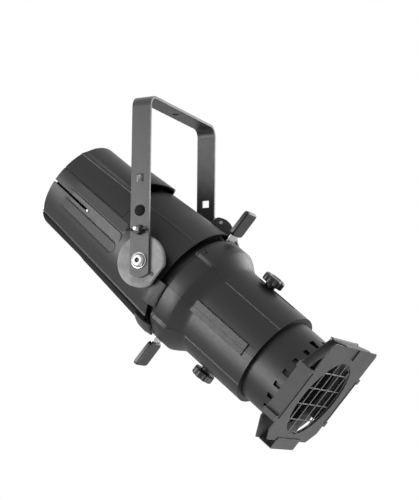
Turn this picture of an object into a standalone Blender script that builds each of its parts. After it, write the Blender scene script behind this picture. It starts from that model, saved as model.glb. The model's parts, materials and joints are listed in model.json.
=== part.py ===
"""An ellipsoidal stage spotlight hung in a flat-bar yoke, as an assembly of separate pieces.

Metres, +Z up. The origin is the hanging hole, on the top face of the yoke's crossbar. The tilt
pivot runs along Y, and the head is drawn in its own frame about that pivot: x along the beam,
y along the pivot and z upward across the beam. Polar angles are in degrees from the head's
top, positive towards -y, the right-hand side as seen along the beam.
"""
import bpy
import bmesh
from math import ceil, cos, hypot, radians, sin, sqrt, tau

# Yoke
BAR_WIDTH = 0.038
BAR_THICKNESS = 0.005
ARM_ROOM = 0.0285
YOKE_BEND = 0.022
PIVOT_DROP = 0.308
ARM_END_RADIUS = 0.030
HANGING_HOLE = 0.013
SQUARE_HOLE = 0.0145
SQUARE_HOLE_RISE = 0.152
PLUG_RISE = 0.092
PLUG_HEAD = 0.021
PLUG_SHANK = 0.016
PLUG_DOME = 0.004
LOCK_RISE = 0.056
TILT_AT_REST = radians(40.2)

# Tilt pivot and tilt lock
BOLT = 0.010
BOLT_HEAD = 0.025
BOLT_HEAD_HEIGHT = 0.006
BOLT_SOCKET = 0.0095
WASHER = 0.030
WASHER_THICKNESS = 0.002
STUD = 0.008
STUD_REACH = 0.020
STUD_CHAMFER = 0.0008
STUD_HEAD = 0.013
STUD_HEAD_HEIGHT = 0.003
WING_HUB = 0.019
WING_HUB_HEIGHT = 0.010
WING_SPAN = 0.047
WING_RISE = 0.016
WING_THICKNESS = 0.0036
WING_ROOT = 0.0015
SHOE_WIDTH = 0.018
SHOE_LIP = 0.006
SHOE_LIP_THICKNESS = 0.004
DISC_RADIUS = 0.048
DISC_THICKNESS = 0.007
DISC_BEVEL = 0.003
DISC_CHORD = 0.042
HUB_RADIUS = 0.026

# Lamp housing
HOUSING_REAR = -0.272
HOUSING_FRONT = 0.045
HOUSING_RADIUS = 0.1125
HOUSING_TAPER = 0.068
HOUSING_RISE = 0.003
WALL = 0.003
BOSS_HEIGHT = 0.004
COVER_FRONT = -0.101
COVER_ANGLE = 72.5
PANEL_DROP = 0.0018
PANEL_TAPER = 0.019
PANEL_FRONT = -0.212
HOOD_REAR = -0.177
HOOD_HEIGHT = 0.0105
VISOR_SETBACK = 0.038
HOOD_ANGLE = 36.5
HOOD_FOOT_ANGLE = 44.0
BEAD_ANGLE = 46.0
BEAD_HEIGHT = 0.0014
TRAY_ANGLE = 139.0
TRAY_BEAD_ANGLE = 136.5
TRAY_WAIST = -0.166
TRAY_STEP = -0.154
TRAY_RISES = (0.0027, 0.0003, 0.0012, 0.0028)
STRIP_ANGLES = (73.5, 85.0, 97.0, 109.0)
STRIP_HEIGHT = 0.0014
STRIP_REAR = -0.235
STRIP_FRONT = -0.074
STRIP_ROUNDING = 0.010
SIDE_SLOT_ANGLE = 91.5
SIDE_SLOT_WIDTH = 0.0045
SIDE_SLOT_FRONT = -0.166
SLOT_PIN = 0.0065
VENT_REAR = -0.160
VENT_FRONT = -0.112
VENT_ANGLES = (8.0, 28.0)

# Inside the housing
PANEL_THICKNESS = 0.004
PANEL_INSET = 0.004
GRILLE_RADII = (0.004, 0.016, 0.0235, 0.0285, 0.0375, 0.050)
SPOKE_HALF_ANGLE = 6.0
FAN_SIZE = 0.092
FAN_BORE = 0.088
FAN_DEPTH = 0.025
FAN_CORNER = 0.006
FAN_HUB = 0.032
FAN_BLADES = 7
FAN_BLADE = 0.0018
FAN_TIP_GAP = 0.0015
FAN_SWEEP = radians(26)
FAN_STRUT = 0.005
SPIDER_DEPTH = 0.004
SINK_LENGTH = 0.136
SINK_ROOM = 0.0385
SINK_FINS = 11
SINK_FIN = 0.003
SINK_WEB = 0.012
ENGINE_PLATE_X = -0.084
ENGINE_PLATE_THICKNESS = 0.004
BOARD_RADIUS = 0.034
BOARD_THICKNESS = 0.003
BOARD_GAP = 0.002
EMITTER_RADIUS = 0.013
EMITTER_HEIGHT = 0.003
REFLECTOR_REAR = -0.062
REFLECTOR_FRONT = 0.033
REFLECTOR_CENTRE = 0.050
REFLECTOR_LENGTH = 0.125
REFLECTOR_RADIUS = 0.075
REFLECTOR_WALL = 0.002
REFLECTOR_FLANGE = 0.084
BULKHEAD_THICKNESS = 0.003
INLET_WIDTH = 0.030
INLET_HEIGHT = 0.024
INLET_DEPTH = 0.007
INLET_RIM = 0.0022
INLET_CORNER = 0.003
INLET_INSET = 0.0465
SOCKET_RADIUS = 0.012
SOCKET_SPREAD = 0.042
SOCKET_INSET = 0.0605

# Links between the housing and the barrel
LINK_REACH = 0.016
LINK_LAP = 0.005
LINK_ANGLES = (93.0, 119.0)
LINK_THICKNESS = 0.0035
LINK_EDGE_SHARE = 0.6
CATCH_REACH = 0.025
CATCH_LAP = 0.006
CATCH_ANGLES = (141.0, 160.0)
CATCH_HEIGHT = 0.0045
TOP_CATCH_ANGLES = (-25.0, -10.6)
TOP_CATCH_ARCH = ((-0.0535, 0.0100), (-0.0485, 0.0160), (-0.0405, 0.0190), (-0.0315, 0.0204),
                  (-0.0225, 0.0192), (-0.0150, 0.0166), (-0.0070, 0.0115))
TOP_CATCH_NOSE = (0.0065, 0.0035, 0.0020)

# Gate, collar and barrel
COLLAR_REAR = 0.056
COLLAR_STEP = 0.0015
COLLAR_CHAMFER = 0.0025
COLLAR_RISE_END = 0.064
SHOULDER_START = 0.096
SHOULDER_END = 0.131
BARREL_FRONT = 0.271
BARREL_LIP = 0.006
SEAM_ANGLE = 92.5
SEAM_HALF_GAP = 0.0002
LIP_HEIGHT = 0.0030
LIP_REAR = 0.104
LIP_FRONT = 0.250
LIP_UPPER_ANGLE = 84.5
LIP_LOWER_ANGLE = 98.8
RIDGE_ANGLE = 49.0
RIDGE_HEIGHT = 0.0014
COLLAR_RIB_END_ANGLE = 57.0
COLLAR_RIB_HEIGHT = 0.0030
GATE_APERTURE = 0.037
GATE_PLATE = 0.0022
SPIGOT_INSET = 0.0100
SPIGOT_WALL = 0.0025

# Shutters
BLADE_INSET = 0.0010
BLADE_THICKNESS = 0.0010
BLADE_WIDTH = 0.092
BLADE_EDGE = 0.003
BLADE_SHOULDER = 0.044
BLADE_TAPER = 0.010
NECK_WIDTH = 0.034
GRIP_WIDTH = 0.044
GRIP_STANDOFF = 0.012
GRIP_LENGTH = 0.053
GRIP_DEPTH = 0.010
GRIP_CORNER = 0.006
GRIP_BEVEL = 0.0025
GRIP_OVERLAP = 0.036

# Lens tube and colour-frame holder
TUBE_RADIUS = 0.085
TUBE_WALL = 0.0025
TUBE_SPACE = 0.0075
TUBE_REAR = 0.150
TUBE_FRONT = 0.352
TUBE_FLANGE = 0.006
TUBE_SLOTS = 20
TUBE_SLOT_REAR = 0.330
TUBE_SLOT_FRONT = 0.346
TUBE_SLOT_HALF_ANGLE = 2.2
TUBE_HOLE_REAR = 0.317
TUBE_HOLE_FRONT = 0.3285
TUBE_HOLE_ANGLES = (23.0, 31.0)
FOCUS_IN = 0.020
FOCUS_OUT = 0.060
LENS_THICKNESS = 0.006
FRONT_LENS_X = 0.304
FRONT_LENS_CROWN = 0.014
REAR_LENS_X = 0.176
REAR_LENS_CROWN = 0.018
LENS_RING_WIDTH = 0.004
LENS_RING_DEPTH = 0.004
BAFFLE_WALL = 0.0015
BAFFLE_LENGTH = 0.033
KNOB_X = 0.175
KNOB_RADIUS = 0.022
KNOB_RISE = 0.021
KNOB_BEVEL = 0.002
KNOB_HEAD = 0.0145
KNOB_STEM = 0.010
KNOB_FLUTES = 8
KNOB_FLUTE_DEPTH = 0.0022
KNOB_BORE_END = 0.004
SHEET = 0.002
HOLDER_WIDTH = 0.224
HOLDER_TOP = 0.113
HOLDER_TOP_CORNER = 0.006
HOLDER_BOTTOM = 0.096
HOLDER_CORNER = 0.022
BACK_TOP = 0.104
BACK_BOTTOM = 0.112
FRAME_SLOT = 0.0255
OPENING_LIP = 0.0045
RAIL_TOP = 0.054
RAIL_BOTTOM = -0.057
RAIL_THICKNESS = 0.0035
RAIL_TAB = 0.011
RAIL_TAB_HEIGHT = 0.011
REST_WIDTH = 0.104
REST_DROP = 0.1135
REST_LIP = 0.024
GUARD_WIRE = 0.0011
GUARD_RING_WIRE = 0.0018
GUARD_LAP = 0.0025
GUARD_PITCH = 0.034
GUARD_WIRES = 4
LATCH_WIDTH = 0.124
LATCH_KNUCKLE = 0.0034
LATCH_PIN = 0.0030
LATCH_TONGUE_WIDTH = 0.032
LATCH_TONGUE_SHIFT = 0.026
LATCH_TONGUE = 0.024
EAR_WIDTH = 0.004

# Clearances between pieces that touch or slide
GAP = 0.0003
SLIDE_GAP = 0.0008
SEAT_GAP = 0.0006
DISC_GAP = 0.0005

# Sizes that follow from the pieces they fit
YOKE_SPAN = 2 * (HOUSING_RADIUS + ARM_ROOM)
BOSS_FACE = HOUSING_RADIUS + BOSS_HEIGHT
SINK_RADIUS = HOUSING_RADIUS - SINK_ROOM
INLET_DROP = HOUSING_RADIUS - INLET_INSET
SOCKET_DROP = HOUSING_RADIUS - SOCKET_INSET
SPIGOT_RADIUS = HOUSING_RADIUS - SPIGOT_INSET
SPIGOT_REAR = REFLECTOR_FRONT + BULKHEAD_THICKNESS + 2 * GAP
COLLAR_RADIUS = HOUSING_RADIUS + COLLAR_STEP
COLLAR_EDGE = COLLAR_RADIUS - COLLAR_CHAMFER
BLADE_X = COLLAR_REAR + BLADE_INSET
GRIP_START = COLLAR_RADIUS + GRIP_STANDOFF
BARREL_RADIUS = TUBE_RADIUS + TUBE_SPACE + WALL
KNOB_TOP = BARREL_RADIUS + KNOB_RISE
OPENING_RADIUS = TUBE_RADIUS - OPENING_LIP
GUARD_RING_RADIUS = OPENING_RADIUS + GUARD_LAP
BACK_CHAMFER = (HOLDER_WIDTH - LATCH_WIDTH) / 2 - EAR_WIDTH

# Colours of the finishes: colour, roughness, metallic
BLACK_PAINT = ((0.045, 0.046, 0.050), 0.45, 0.0)
GREY_PAINT = ((0.20, 0.20, 0.21), 0.42, 0.0)
DISC_GREY = ((0.42, 0.42, 0.43), 0.40, 0.2)
BLACK_PLASTIC = ((0.030, 0.030, 0.032), 0.50, 0.0)
BRIGHT_STEEL = ((0.62, 0.62, 0.61), 0.28, 1.0)
ALUMINIUM = ((0.60, 0.61, 0.62), 0.35, 1.0)
MIRROR = ((0.82, 0.83, 0.84), 0.12, 1.0)
GLASS = ((0.80, 0.84, 0.84), 0.05, 0.0)
EMITTER_YELLOW = ((0.75, 0.62, 0.20), 0.45, 0.0)

SIDES = (("left", 1), ("right", -1))
ENDS = (("top", 1), ("bottom", -1))
FACET = 15.0
TUBE_FACET = 15.0
ROUND = 18
DISC_ROUND = 24
WIDE_ROUND = 36
MID_ROUND = 14
SMALL_ROUND = 12
WIRE_SIDES = 4
STEP = 0.0002
STEP_ANGLE = 0.25
FLAT = radians(0.5)
BEND = 0.00002


# Building helpers

def clear_scene():
    for old in list(bpy.data.objects):
        bpy.data.objects.remove(old, do_unlink=True)


def make_empty(name, parent=None, location=(0, 0, 0), turn=(0, 0, 0)):
    empty = bpy.data.objects.new(name, None)
    bpy.context.scene.collection.objects.link(empty)
    empty.parent = parent
    empty.location = location
    empty.rotation_euler = turn
    return empty


def make_object(name, verts, faces, parent=None, location=(0, 0, 0), lengthwise=False):
    mesh = bpy.data.meshes.new(name)
    mesh.from_pydata(verts, [], faces)
    shape = bmesh.new()
    shape.from_mesh(mesh)
    loose = [vert for vert in shape.verts if not vert.link_faces]
    bmesh.ops.delete(shape, geom=loose, context='VERTS')
    bmesh.ops.recalc_face_normals(shape, faces=shape.faces)
    if lengthwise:
        merge_lengthwise(shape)
    split_bent_faces(shape)
    shape.to_mesh(mesh)
    shape.free()
    mesh.shade_smooth()
    mesh.set_sharp_from_angle(angle=radians(30))
    piece = bpy.data.objects.new(name, mesh)
    bpy.context.scene.collection.objects.link(piece)
    piece.parent = parent
    piece.location = location
    return piece


def merge_lengthwise(shape):
    """Merge faces that carry straight on along the beam, so that long walls stay light."""
    seams = []
    for edge in shape.edges:
        first, second = edge.verts
        runs_across = abs(first.co.x - second.co.x) < STEP / 10
        on_wall = all(abs(face.normal.x) < 0.5 for face in edge.link_faces)
        if runs_across and on_wall and edge.calc_face_angle(1) < FLAT:
            seams.append(edge)
    bmesh.ops.dissolve_edges(shape, edges=seams, use_verts=True)


def split_bent_faces(shape):
    """Split faces whose corners don't lie in one plane, so that every face is flat."""
    bent = []
    for face in shape.faces:
        centre = face.calc_center_median()
        lift = max(abs((vert.co - centre).dot(face.normal)) for vert in face.verts)
        if lift > BEND:
            bent.append(face)
    bmesh.ops.triangulate(shape, faces=bent)


def finish(piece, look):
    colour, roughness, metallic = look
    material = bpy.data.materials.new(piece.name)
    material.use_nodes = True
    shader = material.node_tree.nodes["Principled BSDF"]
    shader.inputs["Base Color"].default_value = (*colour, 1.0)
    shader.inputs["Roughness"].default_value = roughness
    shader.inputs["Metallic"].default_value = metallic
    piece.data.materials.append(material)
    return piece


def combine(piece, tool, operation):
    tool.hide_render = True
    tool.display_type = 'WIRE'
    modifier = piece.modifiers.new(tool.name, 'BOOLEAN')
    modifier.operation = operation
    modifier.solver = 'EXACT'
    modifier.object = tool
    return piece


def cut(piece, tool):
    return combine(piece, tool, 'DIFFERENCE')


def join(piece, tool):
    return combine(piece, tool, 'UNION')


def along_axis(axis, along, first, second):
    """Place a distance along an axis, and two across it."""
    if axis == 'X':
        return (along, first, second)
    if axis == 'Y':
        return (first, along, second)
    return (first, second, along)


def turned(name, profile, axis='X', segments=ROUND, parent=None, location=(0, 0, 0), flutes=0):
    """Turn a profile of (along, radius) or (along, radius, flute depth) about an axis.

    A profile that starts and ends on the axis makes a solid, and any other a closed ring.
    """
    solid = profile[0][1] == 0
    rows = []
    verts = []
    for point in profile:
        along, radius = point[0], point[1]
        depth = point[2] if len(point) > 2 else 0
        row = []
        for step in range(1 if radius == 0 else segments):
            angle = tau * step / segments
            reach = radius - depth * (0.5 - 0.5 * cos(flutes * angle))
            row.append(len(verts))
            verts.append(along_axis(axis, along, reach * cos(angle), reach * sin(angle)))
        rows.append(row)
    pairs = list(zip(rows, rows[1:]))
    if not solid:
        pairs.append((rows[-1], rows[0]))
    faces = []
    for low, high in pairs:
        for step in range(segments):
            after = (step + 1) % segments
            if len(low) == 1:
                faces.append((low[0], high[step], high[after]))
            elif len(high) == 1:
                faces.append((low[step], high[0], low[after]))
            else:
                faces.append((low[step], high[step], high[after], low[after]))
    return make_object(name, verts, faces, parent, location)


def rod(name, radius, start, end, axis='X', segments=SMALL_ROUND, parent=None, location=(0, 0, 0)):
    profile = [(start, 0), (start, radius), (end, radius), (end, 0)]
    return turned(name, profile, axis, segments, parent, location)


def prism(name, outline, start, end, axis='X', parent=None, location=(0, 0, 0)):
    """Extrude a flat outline along an axis."""
    count = len(outline)
    verts = [along_axis(axis, start, *point) for point in outline]
    verts += [along_axis(axis, end, *point) for point in outline]
    faces = [tuple(range(count)), tuple(range(2 * count - 1, count - 1, -1))]
    for step in range(count):
        after = (step + 1) % count
        faces.append((step, after, count + after, count + step))
    return make_object(name, verts, faces, parent, location)


def box(name, low, high, parent=None, location=(0, 0, 0)):
    outline = [(low[1], low[2]), (high[1], low[2]), (high[1], high[2]), (low[1], high[2])]
    return prism(name, outline, low[0], high[0], 'X', parent, location)


def rounded_outline(half_width, bottom, top, corner, steps=4):
    """A rectangle with rounded corners, as (across, up) points."""
    centres = ((half_width - corner, top - corner, 0), (corner - half_width, top - corner, 90),
               (corner - half_width, bottom + corner, 180), (half_width - corner, bottom + corner, 270))
    outline = []
    for across, up, first in centres:
        for step in range(steps + 1):
            angle = radians(first + 90 * step / steps)
            outline.append((across + corner * cos(angle), up + corner * sin(angle)))
    return outline


def cell_solid(name, front, back, closed, is_void=None, parent=None, lengthwise=False):
    """A wall between two grids of points, with some of its cells left open."""
    rows = len(front)
    columns = len(front[0])
    verts = [point for row in front for point in row] + [point for row in back for point in row]
    spans = columns if closed else columns - 1

    def is_solid(i, j):
        if closed:
            j %= spans
        if not (0 <= i < rows - 1 and 0 <= j < spans):
            return False
        return is_void is None or not is_void(i, j)

    def corner(side, i, j):
        return side * rows * columns + i * columns + j % columns

    faces = []
    for i in range(rows - 1):
        for j in range(spans):
            if not is_solid(i, j):
                continue
            ring = ((i, j), (i, j + 1), (i + 1, j + 1), (i + 1, j))
            beside = ((i - 1, j), (i, j + 1), (i + 1, j), (i, j - 1))
            faces.append(tuple(corner(0, *place) for place in ring))
            faces.append(tuple(corner(1, *place) for place in reversed(ring)))
            for edge in range(4):
                if not is_solid(*beside[edge]):
                    first = ring[edge]
                    second = ring[(edge + 1) % 4]
                    faces.append((corner(0, *second), corner(0, *first),
                                  corner(1, *first), corner(1, *second)))
    return make_object(name, verts, faces, parent, (0, 0, 0), lengthwise)


def polar_point(x, radius, angle):
    return (x, -radius * sin(radians(angle)), radius * cos(radians(angle)))


def polar_shell(name, stations, angles, outer, inner, closed=False, is_void=None, parent=None):
    """Loft a wall along the beam between two polar radius functions."""
    front = [[polar_point(x, outer(x, angle), angle) for angle in angles] for x in stations]
    back = [[polar_point(x, inner(x, angle), angle) for angle in angles] for x in stations]
    return cell_solid(name, front, back, closed, is_void, parent, True)


def spread_angles(first, last, extra=(), facet=FACET):
    """Angles from first to last at most one facet apart, with the extra ones among them."""
    fixed = sorted({first, last} | {angle for angle in extra if first < angle < last})
    angles = [first]
    for low, high in zip(fixed, fixed[1:]):
        count = max(1, ceil((high - low) / facet - 0.05))
        angles += [low + (high - low) * step / count for step in range(1, count + 1)]
    return angles


def inside_facets(radius, facet=FACET):
    """A radius that clears the flats of a faceted bore of the given radius."""
    return radius * cos(radians(facet / 2)) - GAP


def middle(values, index):
    after = values[index + 1] if index + 1 < len(values) else values[0] + 360
    return (values[index] + after) / 2


def from_top(angle):
    """The unsigned angle from the head's top, 0 to 180."""
    turned_back = (angle + 180) % 360 - 180
    return abs(turned_back)


def ease(value, start, end):
    share = min(1, max(0, (value - start) / (end - start)))
    return share * share * (3 - 2 * share)


def within(value, low, high):
    return low < value < high


def read_off(profile, x):
    """The value at x on a profile of (x, value) points, straight between them."""
    for (low, first), (high, second) in zip(profile, profile[1:]):
        if x <= high:
            return first + (second - first) * max(0, (x - low) / (high - low))
    return profile[-1][1]


# Radii about the beam axis

def housing_radius(x, angle):
    return HOUSING_RADIUS + HOUSING_TAPER * x + HOUSING_RISE * cos(radians(angle))


def housing_inner(x, angle):
    if x < COVER_FRONT + STEP or from_top(angle) > TRAY_ANGLE - 2 * STEP_ANGLE:
        return seat_inner(x, angle)
    return housing_radius(x, angle) - WALL


def seat_inner(x, angle):
    """The inside of the housing where its wall steps in under the cover and the tray."""
    return housing_radius(x, angle) - panel_drop(x, angle) - 2 * WALL - SEAT_GAP


def panel_drop(x, angle):
    """How far the sunk panel on top, behind the hood, lies below the cone."""
    across = 1 - ease(from_top(angle), HOOD_ANGLE, HOOD_FOOT_ANGLE)
    along = 1 - ease(x, PANEL_FRONT, HOOD_REAR)
    depth = PANEL_DROP + (HOUSING_TAPER - PANEL_TAPER) * (x - HOUSING_REAR)
    return depth * across * along


def strip_height(x, angle):
    """The raised strips along each side, with eased rear ends and round front ends."""
    side = from_top(angle)
    for low, high in zip(STRIP_ANGLES, STRIP_ANGLES[1:]):
        if within(side, low + STEP_ANGLE, high - STEP_ANGLE):
            share = abs(side - (low + high) / 2) / ((high - low) / 2)
            end = STRIP_FRONT - STRIP_ROUNDING * (1 - sqrt(max(0, 1 - share * share)))
            if x < end:
                return STRIP_HEIGHT * ease(x, STRIP_REAR, STRIP_REAR + 2 * STRIP_ROUNDING)
    return 0


def housing_outer(x, angle):
    side = from_top(angle)
    radius = housing_radius(x, angle)
    if side < COVER_ANGLE and x < COVER_FRONT or side > TRAY_ANGLE:
        return radius - panel_drop(x, angle) - WALL - SEAT_GAP
    if abs(side - TRAY_BEAD_ANGLE) < 2 * STEP_ANGLE:
        return radius + BEAD_HEIGHT
    if x > COVER_FRONT and abs(side - BEAD_ANGLE) < STEP_ANGLE:
        return radius + BEAD_HEIGHT / 2
    return radius + strip_height(x, angle)


def cover_rise(x, angle):
    """The cover's height over the cone: a sunk panel at the rear that climbs to a raised hood."""
    hood = 1 - ease(from_top(angle), HOOD_ANGLE, HOOD_FOOT_ANGLE)
    return HOOD_HEIGHT * ease(x, PANEL_FRONT, HOOD_REAR) * hood - panel_drop(x, angle)


def cover_outer(x, angle):
    on_bead = abs(from_top(angle) - BEAD_ANGLE) < 2 * STEP_ANGLE
    bead = BEAD_HEIGHT if on_bead else 0
    return housing_radius(x, angle) + cover_rise(x, angle) + bead


def cover_inner(x, angle):
    return housing_radius(x, angle) + cover_rise(x, angle) - WALL


def cover_front(angle):
    """The cover's front edge: the hood's is a visor, set back towards its feet."""
    side = from_top(angle)
    front = COVER_FRONT - 2 * STEP - GAP
    if side > HOOD_FOOT_ANGLE:
        return front
    return front - VISOR_SETBACK * side / HOOD_FOOT_ANGLE


def tray_profile():
    """How far the tray stands out from the cone, with a small step part way along."""
    return list(zip((HOUSING_REAR, TRAY_WAIST, TRAY_STEP, HOUSING_FRONT), TRAY_RISES))


def tray_outer(x, angle):
    return housing_radius(x, angle) + read_off(tray_profile(), x)


def housing_surface(x, angle):
    """The outside of the housing's front part, with its tray on."""
    if from_top(angle) > TRAY_ANGLE:
        return tray_outer(x, angle)
    return housing_outer(x, angle)


def barrel_profile(x):
    rear = COLLAR_EDGE + (COLLAR_RADIUS - COLLAR_EDGE) * ease(x, COLLAR_REAR, COLLAR_RISE_END)
    return rear - (COLLAR_RADIUS - BARREL_RADIUS) * ease(x, SHOULDER_START, SHOULDER_END)


def collar_recess(x, angle):
    """How far the collar's sides lie inside its top and bottom, up to the sloping ribs."""
    side = from_top(angle)
    across = min(side, 180 - side)
    slope = (across - RIDGE_ANGLE) / (COLLAR_RIB_END_ANGLE - RIDGE_ANGLE)
    return COLLAR_RIB_HEIGHT * min(1, max(0, slope)) * (1 - ease(x, SHOULDER_START, SHOULDER_END))


def barrel_outer(x, angle):
    side = from_top(angle)
    radius = barrel_profile(x) - collar_recess(x, angle)
    across = min(side, 180 - side)
    if x >= SHOULDER_END and abs(across - RIDGE_ANGLE) < STEP_ANGLE:
        return radius + RIDGE_HEIGHT
    if within(x, LIP_REAR, LIP_FRONT) and within(side, LIP_UPPER_ANGLE, LIP_LOWER_ANGLE):
        return max(radius, BARREL_RADIUS + LIP_HEIGHT)
    return radius


def barrel_inner(x, angle):
    if x > BARREL_FRONT - BARREL_LIP:
        return TUBE_RADIUS + SLIDE_GAP
    return barrel_profile(x) - collar_recess(x, angle) - WALL


# Yoke and tilt lock

def yoke_stations():
    """Outer point, inner point and half-width along the bar, from one arm's end to the other's."""
    half = YOKE_SPAN / 2
    inner_bend = YOKE_BEND - BAR_THICKNESS
    right = []
    for step in range(7):
        angle = radians(90 * step / 6)
        outer = (half - YOKE_BEND + YOKE_BEND * sin(angle), YOKE_BEND * cos(angle) - YOKE_BEND)
        inner = (half - YOKE_BEND + inner_bend * sin(angle), inner_bend * cos(angle) - YOKE_BEND)
        right.append((outer, inner, BAR_WIDTH / 2))
    for step in range(6):
        share = BAR_WIDTH / 2 / ARM_END_RADIUS * (1 - step / 5.5)
        drop = PIVOT_DROP + ARM_END_RADIUS * sqrt(1 - share * share)
        outer = (half, -drop)
        inner = (half - BAR_THICKNESS, -drop)
        right.append((outer, inner, ARM_END_RADIUS * share))
    left = [((-o[0], o[1]), (-i[0], i[1]), w) for o, i, w in reversed(right)]
    return left + right


def make_yoke():
    stations = yoke_stations()
    verts = []
    for outer, inner, width in stations:
        verts += [(-width, *outer), (width, *outer), (width, *inner), (-width, *inner)]
    faces = [(0, 1, 2, 3), tuple(range(len(verts) - 1, len(verts) - 5, -1))]
    for row in range(len(stations) - 1):
        for edge in range(4):
            after = (edge + 1) % 4
            faces.append((4 * row + edge, 4 * row + 4 + edge, 4 * row + 4 + after, 4 * row + after))
    yoke = make_object("yoke", verts, faces)
    reach = YOKE_SPAN
    pivot_hole = BOLT / 2 + GAP
    stud_hole = STUD / 2 + GAP
    plug_hole = PLUG_SHANK / 2 + GAP
    hanging = rod("cut_hanging_hole", HANGING_HOLE / 2, -YOKE_BEND, YOKE_BEND, 'Z', ROUND)
    cut(yoke, hanging)
    for name, radius, rise in (("pivot", pivot_hole, 0), ("stud", stud_hole, LOCK_RISE),
                               ("plug", plug_hole, PLUG_RISE)):
        height = (0, 0, rise - PIVOT_DROP)
        cut(yoke, rod("cut_yoke_" + name, radius, -reach, reach, 'Y', SMALL_ROUND, None, height))
    half = SQUARE_HOLE / 2
    square = box("cut_yoke_square", (-half, -reach, -half), (half, reach, half), None,
                 (0, 0, SQUARE_HOLE_RISE - PIVOT_DROP))
    cut(yoke, square)
    finish(yoke, GREY_PAINT)


def make_plug(side, sign):
    face = YOKE_SPAN / 2 + GAP
    end = face - BAR_THICKNESS
    profile = [(end, 0), (end, PLUG_SHANK / 2), (face, PLUG_SHANK / 2), (face, PLUG_HEAD / 2),
               (face + PLUG_DOME * 0.4, PLUG_HEAD / 2 * 0.97), (face + PLUG_DOME * 0.8, PLUG_HEAD / 2 * 0.70),
               (face + PLUG_DOME, 0)]
    profile = [(sign * along, radius) for along, radius in profile]
    plug = turned("yoke_plug_" + side, profile, 'Y', MID_ROUND, None, (0, 0, PLUG_RISE - PIVOT_DROP))
    finish(plug, BLACK_PLASTIC)


def make_pivot_bolt(side, sign):
    arm = YOKE_SPAN / 2
    head = arm + WASHER_THICKNESS + 2 * GAP
    top = head + BOLT_HEAD_HEIGHT
    pivot = (0, 0, -PIVOT_DROP)
    ring = [(arm + GAP, BOLT / 2 + GAP), (arm + GAP, WASHER / 2), (head - GAP, WASHER / 2),
            (head - GAP, BOLT / 2 + GAP)]
    washer = turned("pivot_washer_" + side, [(sign * a, r) for a, r in ring], 'Y', MID_ROUND, None, pivot)
    finish(washer, BRIGHT_STEEL)
    foot = BOSS_FACE + GAP
    profile = [(foot, 0), (foot, BOLT / 2), (head, BOLT / 2), (head, BOLT_HEAD / 2),
               (head + BOLT_HEAD_HEIGHT * 0.45, BOLT_HEAD / 2), (top, BOLT_HEAD / 2 * 0.72), (top, 0)]
    bolt = turned("pivot_bolt_" + side, [(sign * a, r) for a, r in profile], 'Y', MID_ROUND, None, pivot)
    socket = rod("cut_socket_" + side, BOLT_SOCKET / 2, sign * (top - BOLT_HEAD_HEIGHT * 0.7),
                 sign * (top + BOLT_HEAD_HEIGHT), 'Y', 6, None, pivot)
    finish(cut(bolt, socket), BRIGHT_STEEL)


def disc_faces():
    """The outer and inner faces of a pivot disc, as distances along the pivot."""
    outer = YOKE_SPAN / 2 - BAR_THICKNESS - DISC_GAP
    return outer, outer - DISC_THICKNESS


def make_pivot_disc(side, sign, head):
    outer, inner = disc_faces()
    bore = BOLT / 2 + GAP
    profile = [(BOSS_FACE + GAP, bore), (BOSS_FACE + GAP, HUB_RADIUS), (inner, HUB_RADIUS),
               (inner, DISC_RADIUS), (outer - DISC_BEVEL / 2, DISC_RADIUS),
               (outer, DISC_RADIUS - DISC_BEVEL), (outer, bore)]
    disc = turned("pivot_disc_" + side, [(sign * a, r) for a, r in profile], 'Y', DISC_ROUND, head)
    low = (DISC_CHORD, -YOKE_SPAN, -DISC_RADIUS)
    high = (2 * DISC_RADIUS, YOKE_SPAN, DISC_RADIUS)
    trim = box("cut_disc_" + side, low, high, head)
    finish(cut(disc, trim), DISC_GREY)


def make_tilt_lock(side, sign):
    """The shoe that hooks behind the disc's rim, and its stud through the yoke's arm."""
    outer, inner = disc_faces()
    arm_inner = YOKE_SPAN / 2 - BAR_THICKNESS - GAP
    lip_outer = inner - GAP
    lip_inner = lip_outer - SHOE_LIP_THICKNESS
    rim = DISC_RADIUS + 2 * GAP
    crown = LOCK_RISE + STUD_HEAD / 2 + SHOE_LIP_THICKNESS
    outline = [(arm_inner, rim), (arm_inner, crown), (lip_inner, crown), (lip_inner, rim - SHOE_LIP),
               (lip_outer, rim - SHOE_LIP), (lip_outer, rim)]
    outline = [(sign * y, z) for y, z in outline]
    pivot = (0, 0, -PIVOT_DROP)
    shoe = prism("tilt_shoe_" + side, outline, -SHOE_WIDTH / 2, SHOE_WIDTH / 2, 'X', None, pivot)
    lock = (0, 0, LOCK_RISE - PIVOT_DROP)
    base = lip_inner - GAP
    end = base - STUD_HEAD_HEIGHT
    bore = STUD / 2 + GAP
    hole = rod("cut_shoe_" + side, bore, sign * end, sign * YOKE_SPAN, 'Y', SMALL_ROUND, None, lock)
    finish(cut(shoe, hole), BRIGHT_STEEL)
    tip = YOKE_SPAN / 2 + STUD_REACH
    profile = [(end, 0), (end, STUD_HEAD / 2), (base, STUD_HEAD / 2), (base, STUD / 2),
               (tip - STUD_CHAMFER, STUD / 2), (tip, STUD / 2 - STUD_CHAMFER), (tip, 0)]
    stud = turned("lock_stud_" + side, [(sign * a, r) for a, r in profile], 'Y', SMALL_ROUND, None, lock)
    finish(stud, BRIGHT_STEEL)


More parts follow.
